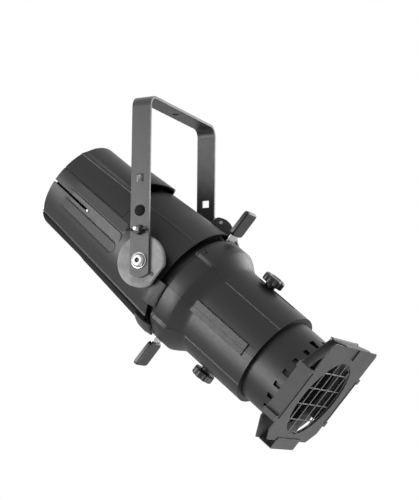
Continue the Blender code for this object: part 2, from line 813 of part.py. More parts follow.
def make_wing_nut(side, sign):
    base = GAP
    lock = (0, sign * YOKE_SPAN / 2, LOCK_RISE - PIVOT_DROP)
    bore = STUD / 2 + GAP
    profile = [(base, bore), (base, WING_HUB / 2), (base + WING_HUB_HEIGHT, WING_HUB / 2 * 0.82),
               (base + WING_HUB_HEIGHT, bore)]
    nut = turned("wing_nut_" + side, [(sign * a, r) for a, r in profile], 'Y', SMALL_ROUND, None, lock)
    inner = bore + WING_ROOT
    tip = WING_SPAN / 2
    for name, way in (("fore", 1), ("aft", -1)):
        wing = [(inner, base + WING_HUB_HEIGHT * 0.1), (WING_HUB / 2, base + WING_HUB_HEIGHT * 0.2),
                (tip * 0.72, base + WING_RISE * 0.31), (tip, base + WING_RISE * 0.66),
                (tip, base + WING_RISE * 0.88), (tip * 0.88, base + WING_RISE),
                (tip * 0.66, base + WING_RISE * 0.92),
                (WING_HUB / 2, base + WING_HUB_HEIGHT * 0.95), (inner, base + WING_HUB_HEIGHT * 0.9)]
        wing = [(way * x, sign * y) for x, y in wing]
        half = WING_THICKNESS / 2
        join(nut, prism("wing_" + name + "_" + side, wing, -half, half, 'Z', None, lock))
    finish(nut, BLACK_PAINT)


# Lamp housing

def ramp_stations(steps=3):
    """Places along the ramp from the sunk panel up to the hood."""
    return [PANEL_FRONT + (HOOD_REAR - PANEL_FRONT) * step / steps for step in range(steps + 1)]


def housing_stations():
    strip_ends = [STRIP_FRONT - STRIP_ROUNDING, STRIP_FRONT - STRIP_ROUNDING * 0.5, STRIP_FRONT - STEP,
                  STRIP_FRONT + STEP]
    return sorted([HOUSING_REAR, STRIP_REAR, STRIP_REAR + 2 * STRIP_ROUNDING, SIDE_SLOT_FRONT, VENT_REAR,
                   VENT_FRONT, COVER_FRONT - STEP, COVER_FRONT + 2 * STEP, HOUSING_FRONT]
                  + strip_ends + ramp_stations())


def slot_half_angle():
    return SIDE_SLOT_WIDTH / 2 / (HOUSING_RADIUS + HOUSING_TAPER * HOUSING_REAR) * 360 / tau


def hood_angles():
    return [HOOD_ANGLE, (HOOD_ANGLE + HOOD_FOOT_ANGLE) / 2, HOOD_FOOT_ANGLE]


def housing_angles():
    half = slot_half_angle()
    features = hood_angles() + [SIDE_SLOT_ANGLE - half, SIDE_SLOT_ANGLE + half, BEAD_ANGLE]
    steps = ((COVER_ANGLE, 1), (TRAY_ANGLE, 1), (BEAD_ANGLE, 3), (TRAY_BEAD_ANGLE, 1), (TRAY_BEAD_ANGLE, 4))
    for angle, count in steps:
        features += [angle - count * STEP_ANGLE, angle + count * STEP_ANGLE]
    for low, high in zip(STRIP_ANGLES, STRIP_ANGLES[1:]):
        features += [low + 4 * STEP_ANGLE, high - 4 * STEP_ANGLE]
    features += list(STRIP_ANGLES[1:]) + list(VENT_ANGLES)
    both = features + [360 - angle for angle in features]
    return spread_angles(0, 360, both)[:-1]


def make_housing(head):
    stations = housing_stations()
    angles = housing_angles()
    half = slot_half_angle()

    def is_void(i, j):
        x = (stations[i] + stations[i + 1]) / 2
        side = from_top(middle(angles, j))
        if x < SIDE_SLOT_FRONT and abs(side - SIDE_SLOT_ANGLE) < half:
            return True
        return within(side, *VENT_ANGLES) and within(x, VENT_REAR, VENT_FRONT)

    housing = polar_shell("housing_shell", stations, angles, housing_outer, housing_inner, True,
                          is_void, head)
    root = HOUSING_RADIUS - 3 * WALL
    for side, sign in SIDES:
        join(housing, rod("boss_" + side, HUB_RADIUS, sign * root, sign * BOSS_FACE, 'Y', ROUND, head))
    finish(housing, BLACK_PAINT)


def make_slot_pin(side, sign, head):
    """The bright pin at the front end of the side slot."""
    x = SIDE_SLOT_FRONT - SLOT_PIN / 2 - GAP
    angle = radians(SIDE_SLOT_ANGLE)
    surface = housing_radius(x, SIDE_SLOT_ANGLE)
    start = surface - 2 * WALL
    middle_height = surface * cos(angle)
    shank = SIDE_SLOT_WIDTH / 2 - GAP
    seat = surface + STRIP_HEIGHT + GAP
    profile = [(start, 0), (start, shank), (seat, shank), (seat, SLOT_PIN / 2),
               (surface + 2 * STRIP_HEIGHT, SLOT_PIN / 2 * 0.8), (surface + 2.3 * STRIP_HEIGHT, 0)]
    pin = turned("slot_pin_" + side, [(sign * a, r) for a, r in profile], 'Y', SMALL_ROUND, head,
                 (x, 0, middle_height))
    finish(pin, BRIGHT_STEEL)


def make_top_cover(head):
    edge = COVER_ANGLE - 2 * STEP_ANGLE
    features = [HOOD_FOOT_ANGLE + 2 * STEP_ANGLE, BEAD_ANGLE - 4 * STEP_ANGLE, BEAD_ANGLE - STEP_ANGLE,
                BEAD_ANGLE + STEP_ANGLE, BEAD_ANGLE + 4 * STEP_ANGLE]
    features += [angle for angle in housing_angles() if angle < edge]
    angles = spread_angles(-edge, edge, features + [-angle for angle in features])
    places = [[x] * len(angles) for x in housing_stations() if x <= HOOD_REAR]
    places.append([cover_front(angle) for angle in angles])
    outside = []
    inside = []
    for row in places:
        outside.append([polar_point(x, cover_outer(x, angle), angle) for x, angle in zip(row, angles)])
        inside.append([polar_point(x, cover_inner(x, angle), angle) for x, angle in zip(row, angles)])
    finish(cell_solid("top_cover", outside, inside, False, None, head, True), BLACK_PAINT)


def make_bottom_tray(head):
    edge = TRAY_ANGLE + 3 * STEP_ANGLE
    angles = spread_angles(edge, 360 - edge, housing_angles())
    stations = [x for x, rise in tray_profile()]

    def inner(x, angle):
        return housing_radius(x, angle) - WALL

    tray = polar_shell("bottom_tray", stations, angles, tray_outer, inner, False, None, head)
    finish(tray, BLACK_PAINT)


# Inside the housing

def panel_x():
    return HOUSING_REAR + PANEL_INSET


def make_rear_panel(head):
    spokes = [60 * step for step in range(6)]
    edges = [spoke + way * SPOKE_HALF_ANGLE for spoke in spokes for way in (-1, 1)]
    angles = sorted((edge + 360) % 360 for edge in edges)
    angles = spread_angles(angles[0], angles[0] + 360, angles[1:], 2 * FACET)[:-1]
    rear = panel_x()
    front = rear + PANEL_THICKNESS
    rim = [inside_facets(seat_inner(rear, angle)) for angle in angles]
    fixed = [[radius] * len(angles) for radius in GRILLE_RADII]
    rings = fixed + [rim]
    behind = [[polar_point(rear, ring[j], angles[j]) for j in range(len(angles))] for ring in rings]
    ahead = [[polar_point(front, ring[j], angles[j]) for j in range(len(angles))] for ring in rings]

    def is_void(i, j):
        off_spoke = abs((middle(angles, j) + 30) % 60 - 30) > SPOKE_HALF_ANGLE
        return i in (1, 3) and off_spoke

    panel = cell_solid("rear_panel", ahead, behind, True, is_void, head)
    finish(panel, BLACK_PAINT)


def make_rear_sockets(head):
    face = panel_x() - GAP
    across = INLET_WIDTH / 2
    up = INLET_HEIGHT / 2
    outline = rounded_outline(across, -up, up, INLET_CORNER, 3)
    place = (0, 0, -INLET_DROP)
    inlet = prism("power_inlet", outline, face - INLET_DEPTH, face, 'X', head, place)
    corner = INLET_CORNER - INLET_RIM / 2
    inside = rounded_outline(across - INLET_RIM, INLET_RIM - up, up - INLET_RIM, corner, 3)
    well = prism("cut_inlet", inside, face - 2 * INLET_DEPTH, face - INLET_DEPTH * 0.2, 'X', head, place)
    finish(cut(inlet, well), BLACK_PLASTIC)
    bore = SOCKET_RADIUS * 0.72
    flange = SOCKET_RADIUS * 1.15
    end = face - INLET_DEPTH
    step = face - INLET_DEPTH * 0.3
    floor = face - INLET_DEPTH * 0.2
    profile = [(face, 0), (face, flange), (step, flange), (step, SOCKET_RADIUS), (end, SOCKET_RADIUS),
               (end, bore), (floor, bore), (floor, 0)]
    for side, sign in SIDES:
        place = (0, sign * SOCKET_SPREAD, -SOCKET_DROP)
        finish(turned("data_socket_" + side, profile, 'X', SMALL_ROUND, head, place), BLACK_PLASTIC)


def make_fan(head):
    rear = panel_x() + PANEL_THICKNESS + GAP
    front = rear + FAN_DEPTH
    half = FAN_SIZE / 2
    frame = prism("fan_frame", rounded_outline(half, -half, half, FAN_CORNER, 3), rear, front, 'X', head)
    cut(frame, rod("cut_fan_bore", FAN_BORE / 2, rear - FAN_DEPTH, front + FAN_DEPTH, 'X', ROUND, head))
    spider_front = front - GAP
    spider_rear = front - SPIDER_DEPTH
    strut = FAN_STRUT / 2
    reach = (FAN_BORE + FAN_SIZE) / 4
    for step in range(3):
        angle = radians(30 + 120 * step)
        across = (-strut * sin(angle), strut * cos(angle))
        end = (reach * cos(angle), reach * sin(angle))
        outline = [(across[0], across[1]), (-across[0], -across[1]),
                   (end[0] - across[0], end[1] - across[1]), (end[0] + across[0], end[1] + across[1])]
        join(frame, prism("fan_strut_%d" % step, outline, spider_rear, spider_front, 'X', head))
    join(frame, rod("fan_boss", FAN_HUB / 2, spider_rear - GAP, spider_front - GAP, 'X', ROUND, head))
    finish(frame, BLACK_PLASTIC)
    make_fan_rotor(head, rear, spider_rear - 2 * GAP)


def make_fan_rotor(head, rear, front):
    start = rear + SPIDER_DEPTH / 2
    rotor = rod("fan_rotor", FAN_HUB / 2, 0, front - start, 'X', ROUND, head, (start, 0, 0))
    root = FAN_HUB / 2 - FAN_BLADE
    tip = FAN_BORE / 2 - FAN_TIP_GAP
    half = FAN_BLADE / 2
    depth = front - start - FAN_BLADE
    verts = []
    faces = []
    for blade in range(FAN_BLADES):
        base = tau * blade / FAN_BLADES
        first = len(verts)
        for x, turn in ((half, 0), (depth, FAN_SWEEP)):
            for radius in (root, tip):
                for way in (-1, 1):
                    angle = base + turn + way * half / radius
                    verts.append((x, radius * cos(angle), radius * sin(angle)))
        for corners in ((0, 1, 3, 2), (4, 5, 7, 6), (0, 1, 5, 4), (2, 3, 7, 6), (0, 2, 6, 4),
                        (1, 3, 7, 5)):
            faces.append(tuple(first + corner for corner in corners))
    join(rotor, make_object("fan_blades", verts, faces, head, (start, 0, 0)))
    finish(rotor, BLACK_PLASTIC)


def make_heat_sink(head):
    """A finned block: fins stand above and below a level web."""
    front = ENGINE_PLATE_X - GAP
    pitch = 2 * SINK_RADIUS / (SINK_FINS + 0.6)
    upper = []
    for fin in range(SINK_FINS):
        y = (fin - (SINK_FINS - 1) / 2) * pitch
        height = max(SINK_WEB, sqrt(SINK_RADIUS ** 2 - y * y))
        upper += [(y - SINK_FIN / 2, SINK_WEB / 2), (y - SINK_FIN / 2, height),
                  (y + SINK_FIN / 2, height), (y + SINK_FIN / 2, SINK_WEB / 2)]
    outline = upper + [(-y, -z) for y, z in upper]
    sink = prism("heat_sink", outline, front - SINK_LENGTH, front, 'X', head)
    finish(sink, ALUMINIUM)


def make_engine(head):
    angles = spread_angles(0, 360, (), 2 * FACET)[:-1]
    rear = ENGINE_PLATE_X
    front = rear + ENGINE_PLATE_THICKNESS

    def outer(x, angle):
        return inside_facets(seat_inner(rear, angle))

    def inner(x, angle):
        return BOARD_RADIUS + BOARD_GAP

    finish(polar_shell("engine_plate", [rear, front], angles, outer, inner, True, None, head), ALUMINIUM)
    top = rear + BOARD_THICKNESS
    profile = [(rear, 0), (rear, BOARD_RADIUS), (top, BOARD_RADIUS), (top, EMITTER_RADIUS),
               (top + EMITTER_HEIGHT * 0.6, EMITTER_RADIUS * 0.9), (top + EMITTER_HEIGHT, 0)]
    finish(turned("led_board", profile, 'X', MID_ROUND, head), EMITTER_YELLOW)


def reflector_radius(x):
    share = (x - REFLECTOR_CENTRE) / REFLECTOR_LENGTH
    return REFLECTOR_RADIUS * sqrt(1 - share * share)


def make_reflector(head):
    steps = 4
    length = REFLECTOR_FRONT - REFLECTOR_REAR
    places = [REFLECTOR_REAR + length * step / steps for step in range(steps + 1)]
    inside = [(x, reflector_radius(x)) for x in places]
    outside = [(x, radius + REFLECTOR_WALL) for x, radius in inside[:-1]]
    flange_rear = REFLECTOR_FRONT - REFLECTOR_WALL
    rim = [(REFLECTOR_FRONT, REFLECTOR_FLANGE), (flange_rear, REFLECTOR_FLANGE),
           (flange_rear, reflector_radius(flange_rear) + REFLECTOR_WALL)]
    profile = inside + rim + list(reversed(outside))
    finish(turned("reflector", profile, 'X', ROUND, head), MIRROR)
    angles = spread_angles(0, 360, (), 2 * FACET)[:-1]
    rear = REFLECTOR_FRONT + GAP
    front = rear + BULKHEAD_THICKNESS

    def outer(x, angle):
        return inside_facets(seat_inner(rear, angle))

    def inner(x, angle):
        return reflector_radius(REFLECTOR_FRONT)

    bulkhead = polar_shell("front_bulkhead", [rear, front], angles, outer, inner, True, None, head)
    finish(bulkhead, BLACK_PAINT)


# Links, gate and barrel

def link_seat(x, angles):
    """A radius just clear of the housing behind the gap, and of the collar ahead of it."""
    if x < COLLAR_REAR:
        place = min(x, HOUSING_FRONT)
        surfaces = [housing_surface(place, angle) for angle in angles]
    else:
        surfaces = [barrel_outer(COLLAR_RISE_END, angle) for angle in angles]
    return max(surfaces) + 3 * GAP


def plate_profile(reach, lap, thickness):
    """A flat link's heights: thin at both ends, full between them."""
    rear = HOUSING_FRONT - reach
    front = COLLAR_REAR + lap
    edge = thickness * LINK_EDGE_SHARE
    return [(rear, edge), (rear + thickness, thickness), (HOUSING_FRONT, thickness),
            (COLLAR_REAR, thickness), (front - lap / 2, thickness), (front, edge)]


def arch_profile():
    """The top catch's heights: a rounded lug on the housing with a low nose over the collar."""
    arch = [(HOUSING_FRONT + back, height) for back, height in TOP_CATCH_ARCH]
    nose = zip((HOUSING_FRONT, COLLAR_REAR, COLLAR_REAR + CATCH_LAP), TOP_CATCH_NOSE)
    return arch + list(nose)


def make_link(name, profile, low, high, head):
    angles = spread_angles(low, high)
    heights = dict(profile)

    def inner(x, angle):
        return link_seat(x, angles)

    def outer(x, angle):
        return link_seat(x, angles) + heights[x]

    finish(polar_shell(name, list(heights), angles, outer, inner, False, None, head), BLACK_PAINT)


def make_links(head):
    low, high = LINK_ANGLES
    plate = plate_profile(LINK_REACH, LINK_LAP, LINK_THICKNESS)
    make_link("side_link_right", plate, low, high, head)
    make_link("side_link_left", plate, -high, -low, head)
    make_link("bottom_catch", plate_profile(CATCH_REACH, CATCH_LAP, CATCH_HEIGHT), *CATCH_ANGLES, head)
    make_link("top_catch", arch_profile(), *TOP_CATCH_ANGLES, head)


def blade_rear(end):
    """The rear face of the top or bottom shutter's blade: they lie one behind the other."""
    return BLADE_X if end == "top" else BLADE_X + BLADE_THICKNESS + GAP


def make_gate(head):
    """Two plates with the shutters between them: the rear one has a spigot against the bulkhead."""
    outer = inside_facets(COLLAR_EDGE - COLLAR_RIB_HEIGHT - WALL)
    rear = BLADE_X - GAP
    front = blade_rear("bottom") + BLADE_THICKNESS + GAP
    back = rear - GATE_PLATE
    bore = SPIGOT_RADIUS - SPIGOT_WALL
    frame = [(back, GATE_APERTURE), (back, bore), (SPIGOT_REAR, bore), (SPIGOT_REAR, SPIGOT_RADIUS),
             (back, SPIGOT_RADIUS), (back, outer), (rear, outer), (rear, GATE_APERTURE)]
    finish(turned("gate_frame", frame, 'X', ROUND, head), BLACK_PAINT)
    end = front + GATE_PLATE
    ring = [(front, GATE_APERTURE), (front, outer), (end, outer), (end, GATE_APERTURE)]
    finish(turned("gate_plate", ring, 'X', ROUND, head), BLACK_PAINT)


def barrel_stations():
    slot_rear, slot_front = focus_slot()
    notch = shutter_notch()
    shoulder = [SHOULDER_START + (SHOULDER_END - SHOULDER_START) * step / 5 for step in range(1, 5)]
    lips = [LIP_FRONT - STEP, LIP_FRONT + STEP]
    fronts = [BARREL_FRONT - BARREL_LIP - STEP, BARREL_FRONT - BARREL_LIP + STEP, BARREL_FRONT]
    ends = [COLLAR_REAR, notch, COLLAR_RISE_END, SHOULDER_START, SHOULDER_END, slot_rear, slot_front]
    return sorted(ends + shoulder + lips + fronts)


def focus_slot():
    """The ends of the slots that the focus studs travel in."""
    half = STUD / 2 + 2 * SLIDE_GAP
    return KNOB_X - FOCUS_IN - half, KNOB_X + FOCUS_OUT + half


def shutter_notch():
    """How far forward the collar is open for the shutter blades."""
    return blade_rear("bottom") + BLADE_THICKNESS + 2 * GAP


def make_barrel_half(name, first, last, centre, head):
    slot_rear, slot_front = focus_slot()
    notch = shutter_notch()
    notch_half = (NECK_WIDTH / 2 + 2 * SLIDE_GAP) / (COLLAR_EDGE - WALL) * 360 / tau
    slot_half = (STUD / 2 + 2 * SLIDE_GAP) / BARREL_RADIUS * 360 / tau
    features = [centre - notch_half, centre + notch_half, centre - slot_half, centre + slot_half]
    foot = 4 * STEP_ANGLE
    ribs = [RIDGE_ANGLE - foot, RIDGE_ANGLE, RIDGE_ANGLE + foot, COLLAR_RIB_END_ANGLE]
    features += ribs + [180 - angle for angle in ribs]
    for edge in (LIP_UPPER_ANGLE, LIP_LOWER_ANGLE):
        features += [edge - STEP_ANGLE, edge + STEP_ANGLE]
    features += [360 - angle for angle in features] + [-angle for angle in features]
    angles = spread_angles(first, last, features)
    stations = barrel_stations()

    def is_void(i, j):
        x = (stations[i] + stations[i + 1]) / 2
        off_centre = abs((angles[j] + angles[j + 1]) / 2 - centre)
        if x < notch and off_centre < notch_half:
            return True
        return within(x, slot_rear, slot_front) and off_centre < slot_half

    half = polar_shell(name, stations, angles, barrel_outer, barrel_inner, False, is_void, head)
    finish(half, BLACK_PAINT)


def make_barrel(head):
    gap = SEAM_HALF_GAP / BARREL_RADIUS * 360 / tau
    make_barrel_half("barrel_upper", gap - SEAM_ANGLE, SEAM_ANGLE - gap, 0, head)
    make_barrel_half("barrel_lower", SEAM_ANGLE + gap, 360 - SEAM_ANGLE - gap, 180, head)


# Shutters

def make_shutter(end, sign, head):
    rear = blade_rear(end)
    place = (rear, 0, 0)
    neck = NECK_WIDTH / 2
    half = BLADE_WIDTH / 2
    taper = BLADE_TAPER
    top = GRIP_START + GRIP_OVERLAP
    outline = [(half, BLADE_EDGE), (half, BLADE_SHOULDER - taper), (half - taper, BLADE_SHOULDER),
               (neck, BLADE_SHOULDER), (neck, top), (-neck, top), (-neck, BLADE_SHOULDER),
               (taper - half, BLADE_SHOULDER), (-half, BLADE_SHOULDER - taper), (-half, BLADE_EDGE)]
    outline = [(y, sign * z) for y, z in outline]
    blade = prism("shutter_blade_" + end, outline, 0, BLADE_THICKNESS, 'X', head, place)
    finish(blade, BRIGHT_STEEL)
    middle_x = BLADE_THICKNESS / 2
    verts = []
    across = GRIP_WIDTH / 2
    end_z = GRIP_START + GRIP_LENGTH
    bevel = GRIP_BEVEL
    rounds = rounded_outline(across, GRIP_START, end_z, GRIP_CORNER, 3)
    core = rounded_outline(across - bevel, GRIP_START + bevel, end_z - bevel, GRIP_CORNER - bevel / 2, 3)
    count = len(rounds)
    layers = ((-0.5, core), (-0.28, rounds), (0.28, rounds), (0.5, core))
    for share, ring in layers:
        verts += [(middle_x + share * GRIP_DEPTH, y, sign * z) for y, z in ring]
    faces = [tuple(range(count)), tuple(range(4 * count - 1, 3 * count - 1, -1))]
    for row in range(3):
        for step in range(count):
            after = (step + 1) % count
            faces.append((row * count + step, row * count + after,
                          (row + 1) * count + after, (row + 1) * count + step))
    grip = make_object("shutter_grip_" + end, verts, faces, head, place)
    low = (-GAP, -neck - GAP, GRIP_START - GRIP_DEPTH)
    high = (BLADE_THICKNESS + GAP, neck + GAP, top + GAP)
    if sign < 0:
        low, high = (low[0], low[1], -high[2]), (high[0], high[1], -low[2])
    finish(cut(grip, box("cut_grip_" + end, low, high, head, place)), BLACK_PLASTIC)


# Lens tube and colour-frame holder

def tube_inner():
    return TUBE_RADIUS - TUBE_WALL


def make_lens_tube(carriage):
    pitch = 360 / TUBE_SLOTS
    edges = []
    for slot in range(TUBE_SLOTS):
        centre = pitch * (slot + 0.5)
        edges += [centre - TUBE_SLOT_HALF_ANGLE, centre + TUBE_SLOT_HALF_ANGLE]
    features = edges[1:] + list(TUBE_HOLE_ANGLES)
    angles = spread_angles(edges[0], edges[0] + 360, features, TUBE_FACET)[:-1]
    flange_end = TUBE_REAR + TUBE_FLANGE
    stations = [TUBE_REAR, flange_end - STEP, flange_end + STEP, TUBE_HOLE_REAR, TUBE_HOLE_FRONT,
                TUBE_SLOT_REAR, TUBE_SLOT_FRONT, TUBE_FRONT]
    flange = BARREL_RADIUS - WALL - SLIDE_GAP

    def outer(x, angle):
        return flange if x < flange_end else TUBE_RADIUS

    def inner(x, angle):
        return tube_inner()

    def is_void(i, j):
        place = middle(angles, j)
        if stations[i] == TUBE_HOLE_REAR:
            return within(place, *TUBE_HOLE_ANGLES)
        off_slot = abs(place % pitch - pitch / 2)
        return stations[i] == TUBE_SLOT_REAR and off_slot < TUBE_SLOT_HALF_ANGLE

    tube = polar_shell("lens_tube", stations, angles, outer, inner, True, is_void, carriage)
    finish(tube, BLACK_PAINT)


def make_lens(name, x, crown, baffle, carriage):
    """A plano-convex lens, flat towards the gate, and the ring that holds it from the front.

    The ring runs on as a sleeve of the given length, which keeps stray light from the vent slots.
    """
    radius = inside_facets(tube_inner(), TUBE_FACET)
    edge = x + LENS_THICKNESS
    profile = [(x, 0), (x, radius)]
    steps = 4
    for step in range(steps):
        share = 1 - step / steps
        profile.append((edge + crown * (1 - share * share), radius * share))
    profile.append((edge + crown, 0))
    finish(turned(name, profile, 'X', ROUND, carriage), GLASS)
    start = edge + crown * 0.12 + GAP
    end = start + LENS_RING_DEPTH
    bore = radius - LENS_RING_WIDTH
    ring = [(start, bore), (start, radius), (end, radius)]
    if baffle:
        ring += [(end, bore + BAFFLE_WALL), (end + baffle, bore + BAFFLE_WALL), (end + baffle, bore)]
    else:
        ring.append((end, bore))
    finish(turned(name + "_ring", ring, 'X', ROUND, carriage), BLACK_PAINT)


def make_focus_knob(end, sign, carriage):
    place = (KNOB_X, 0, 0)
    root = TUBE_RADIUS + GAP
    head_bottom = KNOB_TOP - KNOB_HEAD
    tip = KNOB_TOP - KNOB_BORE_END - GAP
    stud_profile = [(root, 0), (root, STUD / 2), (tip, STUD / 2), (tip, 0)]
    stud_profile = [(sign * along, radius) for along, radius in stud_profile]
    finish(turned("knob_stud_" + end, stud_profile, 'Z', SMALL_ROUND, carriage, place), BRIGHT_STEEL)
    bore = STUD / 2 + GAP
    base = BARREL_RADIUS + RIDGE_HEIGHT / 2
    roof = KNOB_TOP - KNOB_BORE_END
    flute = KNOB_FLUTE_DEPTH
    profile = [(roof, 0), (roof, bore), (base, bore), (base, KNOB_STEM), (head_bottom, KNOB_STEM),
               (head_bottom, KNOB_RADIUS * 0.94, flute), (head_bottom + KNOB_BEVEL, KNOB_RADIUS, flute),
               (KNOB_TOP - KNOB_BEVEL, KNOB_RADIUS, flute), (KNOB_TOP, KNOB_RADIUS * 0.90, flute),
               (KNOB_TOP, 0)]
    knob = turned("focus_knob_" + end, [(sign * p[0],) + p[1:] for p in profile], 'Z', 3 * KNOB_FLUTES,
                  carriage, place, KNOB_FLUTES)
    finish(knob, BLACK_PLASTIC)


def holder_planes():
    """The rear faces of the holder's back plate and front plate."""
    back = TUBE_FRONT + GAP
    return back, back + SHEET + FRAME_SLOT


def make_holder(carriage):
    back, front = holder_planes()
    half = HOLDER_WIDTH / 2
    trim = half - BACK_CHAMFER
    rise = BACK_TOP - BACK_CHAMFER
    fall = BACK_BOTTOM - BACK_CHAMFER
    outline = [(half, -fall), (half, rise), (trim, BACK_TOP), (-trim, BACK_TOP), (-half, rise),
               (-half, -fall), (-trim, -BACK_BOTTOM), (trim, -BACK_BOTTOM)]
    plate = prism("holder_back", outline, back, back + SHEET, 'X', carriage)
    cut_start = back - SHEET
    cut_end = front + 2 * SHEET
    cut(plate, rod("cut_holder_back", OPENING_RADIUS, cut_start, cut_end, 'X', WIDE_ROUND, carriage))
    hinge_x, hinge_z = latch_hinge()
    ear_half = LATCH_KNUCKLE
    foot = BACK_TOP - ear_half
    crown = hinge_z + ear_half
    ear = [(back, foot), (back + SHEET, foot), (hinge_x + ear_half, hinge_z),
           (hinge_x + ear_half * 0.6, crown), (hinge_x - ear_half * 0.6, crown), (back, hinge_z)]
    for side, sign in SIDES:
        start = sign * (LATCH_WIDTH / 2 + GAP)
        join(plate, prism("holder_ear_" + side, ear, start, start + sign * EAR_WIDTH, 'Y', carriage))
    pin_hole = rod("cut_ear", LATCH_PIN / 2 + GAP, -LATCH_WIDTH, LATCH_WIDTH, 'Y', SMALL_ROUND, carriage,
                   (hinge_x, 0, hinge_z))
    finish(cut(plate, pin_hole), BLACK_PAINT)
    corner = HOLDER_CORNER
    small = HOLDER_TOP_CORNER
    face = [(half, corner - HOLDER_BOTTOM), (half, HOLDER_TOP - small), (half - small, HOLDER_TOP),
            (small - half, HOLDER_TOP), (-half, HOLDER_TOP - small), (-half, corner - HOLDER_BOTTOM),
            (corner - half, -HOLDER_BOTTOM), (half - corner, -HOLDER_BOTTOM)]
    front_plate = prism("holder_front", face, front, front + SHEET, 'X', carriage)
    cut(front_plate, rod("cut_holder_front", OPENING_RADIUS, cut_start, cut_end, 'X', WIDE_ROUND, carriage))
    finish(front_plate, BLACK_PAINT)
    make_rails(carriage, back, front)
    make_bottom_rest(carriage, back, front)
    make_guard(carriage, front)


def make_rails(carriage, back, front):
    """The side walls that join the two plates, each with a raised tab at both ends."""
    inside = HOLDER_WIDTH / 2 + GAP
    wall = inside + RAIL_THICKNESS
    tab = inside + RAIL_TAB_HEIGHT
    outline = [(inside, RAIL_BOTTOM), (tab, RAIL_BOTTOM), (tab, RAIL_BOTTOM + RAIL_TAB),
               (wall, RAIL_BOTTOM + RAIL_TAB), (wall, RAIL_TOP - RAIL_TAB), (tab, RAIL_TOP - RAIL_TAB),
               (tab, RAIL_TOP), (inside, RAIL_TOP)]
    for side, sign in SIDES:
        shape = [(sign * y, z) for y, z in outline]
        finish(prism("side_rail_" + side, shape, back, front + SHEET, 'X', carriage), BLACK_PAINT)


def make_bottom_rest(carriage, back, front):
    """The shelf that a colour frame stands on, with a lip that laps over the front plate."""
    start = back + SHEET + GAP
    lip = front + SHEET + GAP
    floor = -REST_DROP
    outline = [(start, floor), (lip + SHEET, floor), (lip + SHEET, floor + REST_LIP),
               (lip, floor + REST_LIP), (lip, floor + SHEET), (start, floor + SHEET)]
    rest = prism("bottom_rest", outline, -REST_WIDTH / 2, REST_WIDTH / 2, 'Y', carriage)
    finish(rest, BLACK_PAINT)


def make_guard(carriage, front):
    """A wire guard behind the opening: a ring with crossed wires."""
    apart = GUARD_WIRE + GAP / 2
    x = front - apart - GUARD_WIRE - GAP
    ring = []
    for step in range(WIRE_SIDES):
        angle = tau * step / WIRE_SIDES
        ring.append((x + GUARD_RING_WIRE * cos(angle), GUARD_RING_RADIUS + GUARD_RING_WIRE * sin(angle)))
    guard = turned("wire_guard", ring, 'X', ROUND, carriage)
    for wire in range(GUARD_WIRES):
        across = (wire - (GUARD_WIRES - 1) / 2) * GUARD_PITCH
        reach = sqrt(GUARD_RING_RADIUS ** 2 - across * across)
        ways = (("upright", 'Z', (x + apart, across, 0)), ("level", 'Y', (x - apart, 0, across)))
        for name, axis, place in ways:
            tool = "guard_%s_%d" % (name, wire)
            join(guard, rod(tool, GUARD_WIRE, -reach, reach, axis, WIRE_SIDES, carriage, place))
    finish(guard, BLACK_PAINT)


def latch_hinge():
    back, front = holder_planes()
    return back + SHEET / 2, BACK_TOP + LATCH_KNUCKLE + GAP


def make_latch(carriage):
    """The spring latch that closes the top of the frame slot, on its hinge pin."""
    back, front = holder_planes()
    hinge_x, hinge_z = latch_hinge()
    half = LATCH_WIDTH / 2
    top_edge = HOLDER_TOP - hinge_z
    plate_rear = front - hinge_x - GAP
    lip = hypot(plate_rear + SHEET + GAP, top_edge) + GAP
    floor = top_edge + GAP
    roof = floor + SHEET
    bore = LATCH_PIN / 2 + GAP
    knuckle = [(-half, bore), (-half, LATCH_KNUCKLE), (half, LATCH_KNUCKLE), (half, bore)]
    place = (hinge_x, 0, hinge_z)
    latch = turned("frame_latch", knuckle, 'Y', SMALL_ROUND, carriage, place)
    root = bore + GAP
    leaf = [(root, -SHEET / 2), (plate_rear, floor), (lip + SHEET, floor), (lip + SHEET, roof),
            (plate_rear, roof), (root, SHEET / 2)]
    join(latch, prism("latch_leaf", leaf, -half, half, 'Y', carriage, place))
    end = floor - LATCH_TONGUE
    tongue = [(lip, roof - GAP), (lip, end), (lip + SHEET, end), (lip + SHEET, roof - GAP)]
    start = LATCH_TONGUE_SHIFT - LATCH_TONGUE_WIDTH / 2
    join(latch, prism("latch_tongue", tongue, start, start + LATCH_TONGUE_WIDTH, 'Y', carriage, place))
    finish(latch, BLACK_PAINT)
    reach = half + EAR_WIDTH
    pin = rod("latch_pin", LATCH_PIN / 2, -reach, reach, 'Y', SMALL_ROUND, carriage, place)
    finish(pin, BRIGHT_STEEL)


def main():
    clear_scene()
    make_yoke()
    head = make_empty("tilt_pivot", None, (0, 0, -PIVOT_DROP), (0, TILT_AT_REST, 0))
    carriage = make_empty("lens_carriage", head)
    for side, sign in SIDES:
        make_plug(side, sign)
        make_pivot_bolt(side, sign)
        make_pivot_disc(side, sign, head)
        make_tilt_lock(side, sign)
        make_wing_nut(side, sign)
        make_slot_pin(side, sign, head)
    make_housing(head)
    make_top_cover(head)
    make_bottom_tray(head)
    make_rear_panel(head)
    make_rear_sockets(head)
    make_fan(head)
    make_heat_sink(head)
    make_engine(head)
    make_reflector(head)
    make_links(head)
    make_gate(head)
    make_barrel(head)
    make_lens_tube(carriage)
    make_lens("front_lens", FRONT_LENS_X, FRONT_LENS_CROWN, BAFFLE_LENGTH, carriage)
    make_lens("rear_lens", REAR_LENS_X, REAR_LENS_CROWN, 0, carriage)
    make_holder(carriage)
    make_latch(carriage)
    for end, sign in ENDS:
        make_shutter(end, sign, head)
        make_focus_knob(end, sign, carriage)


main()
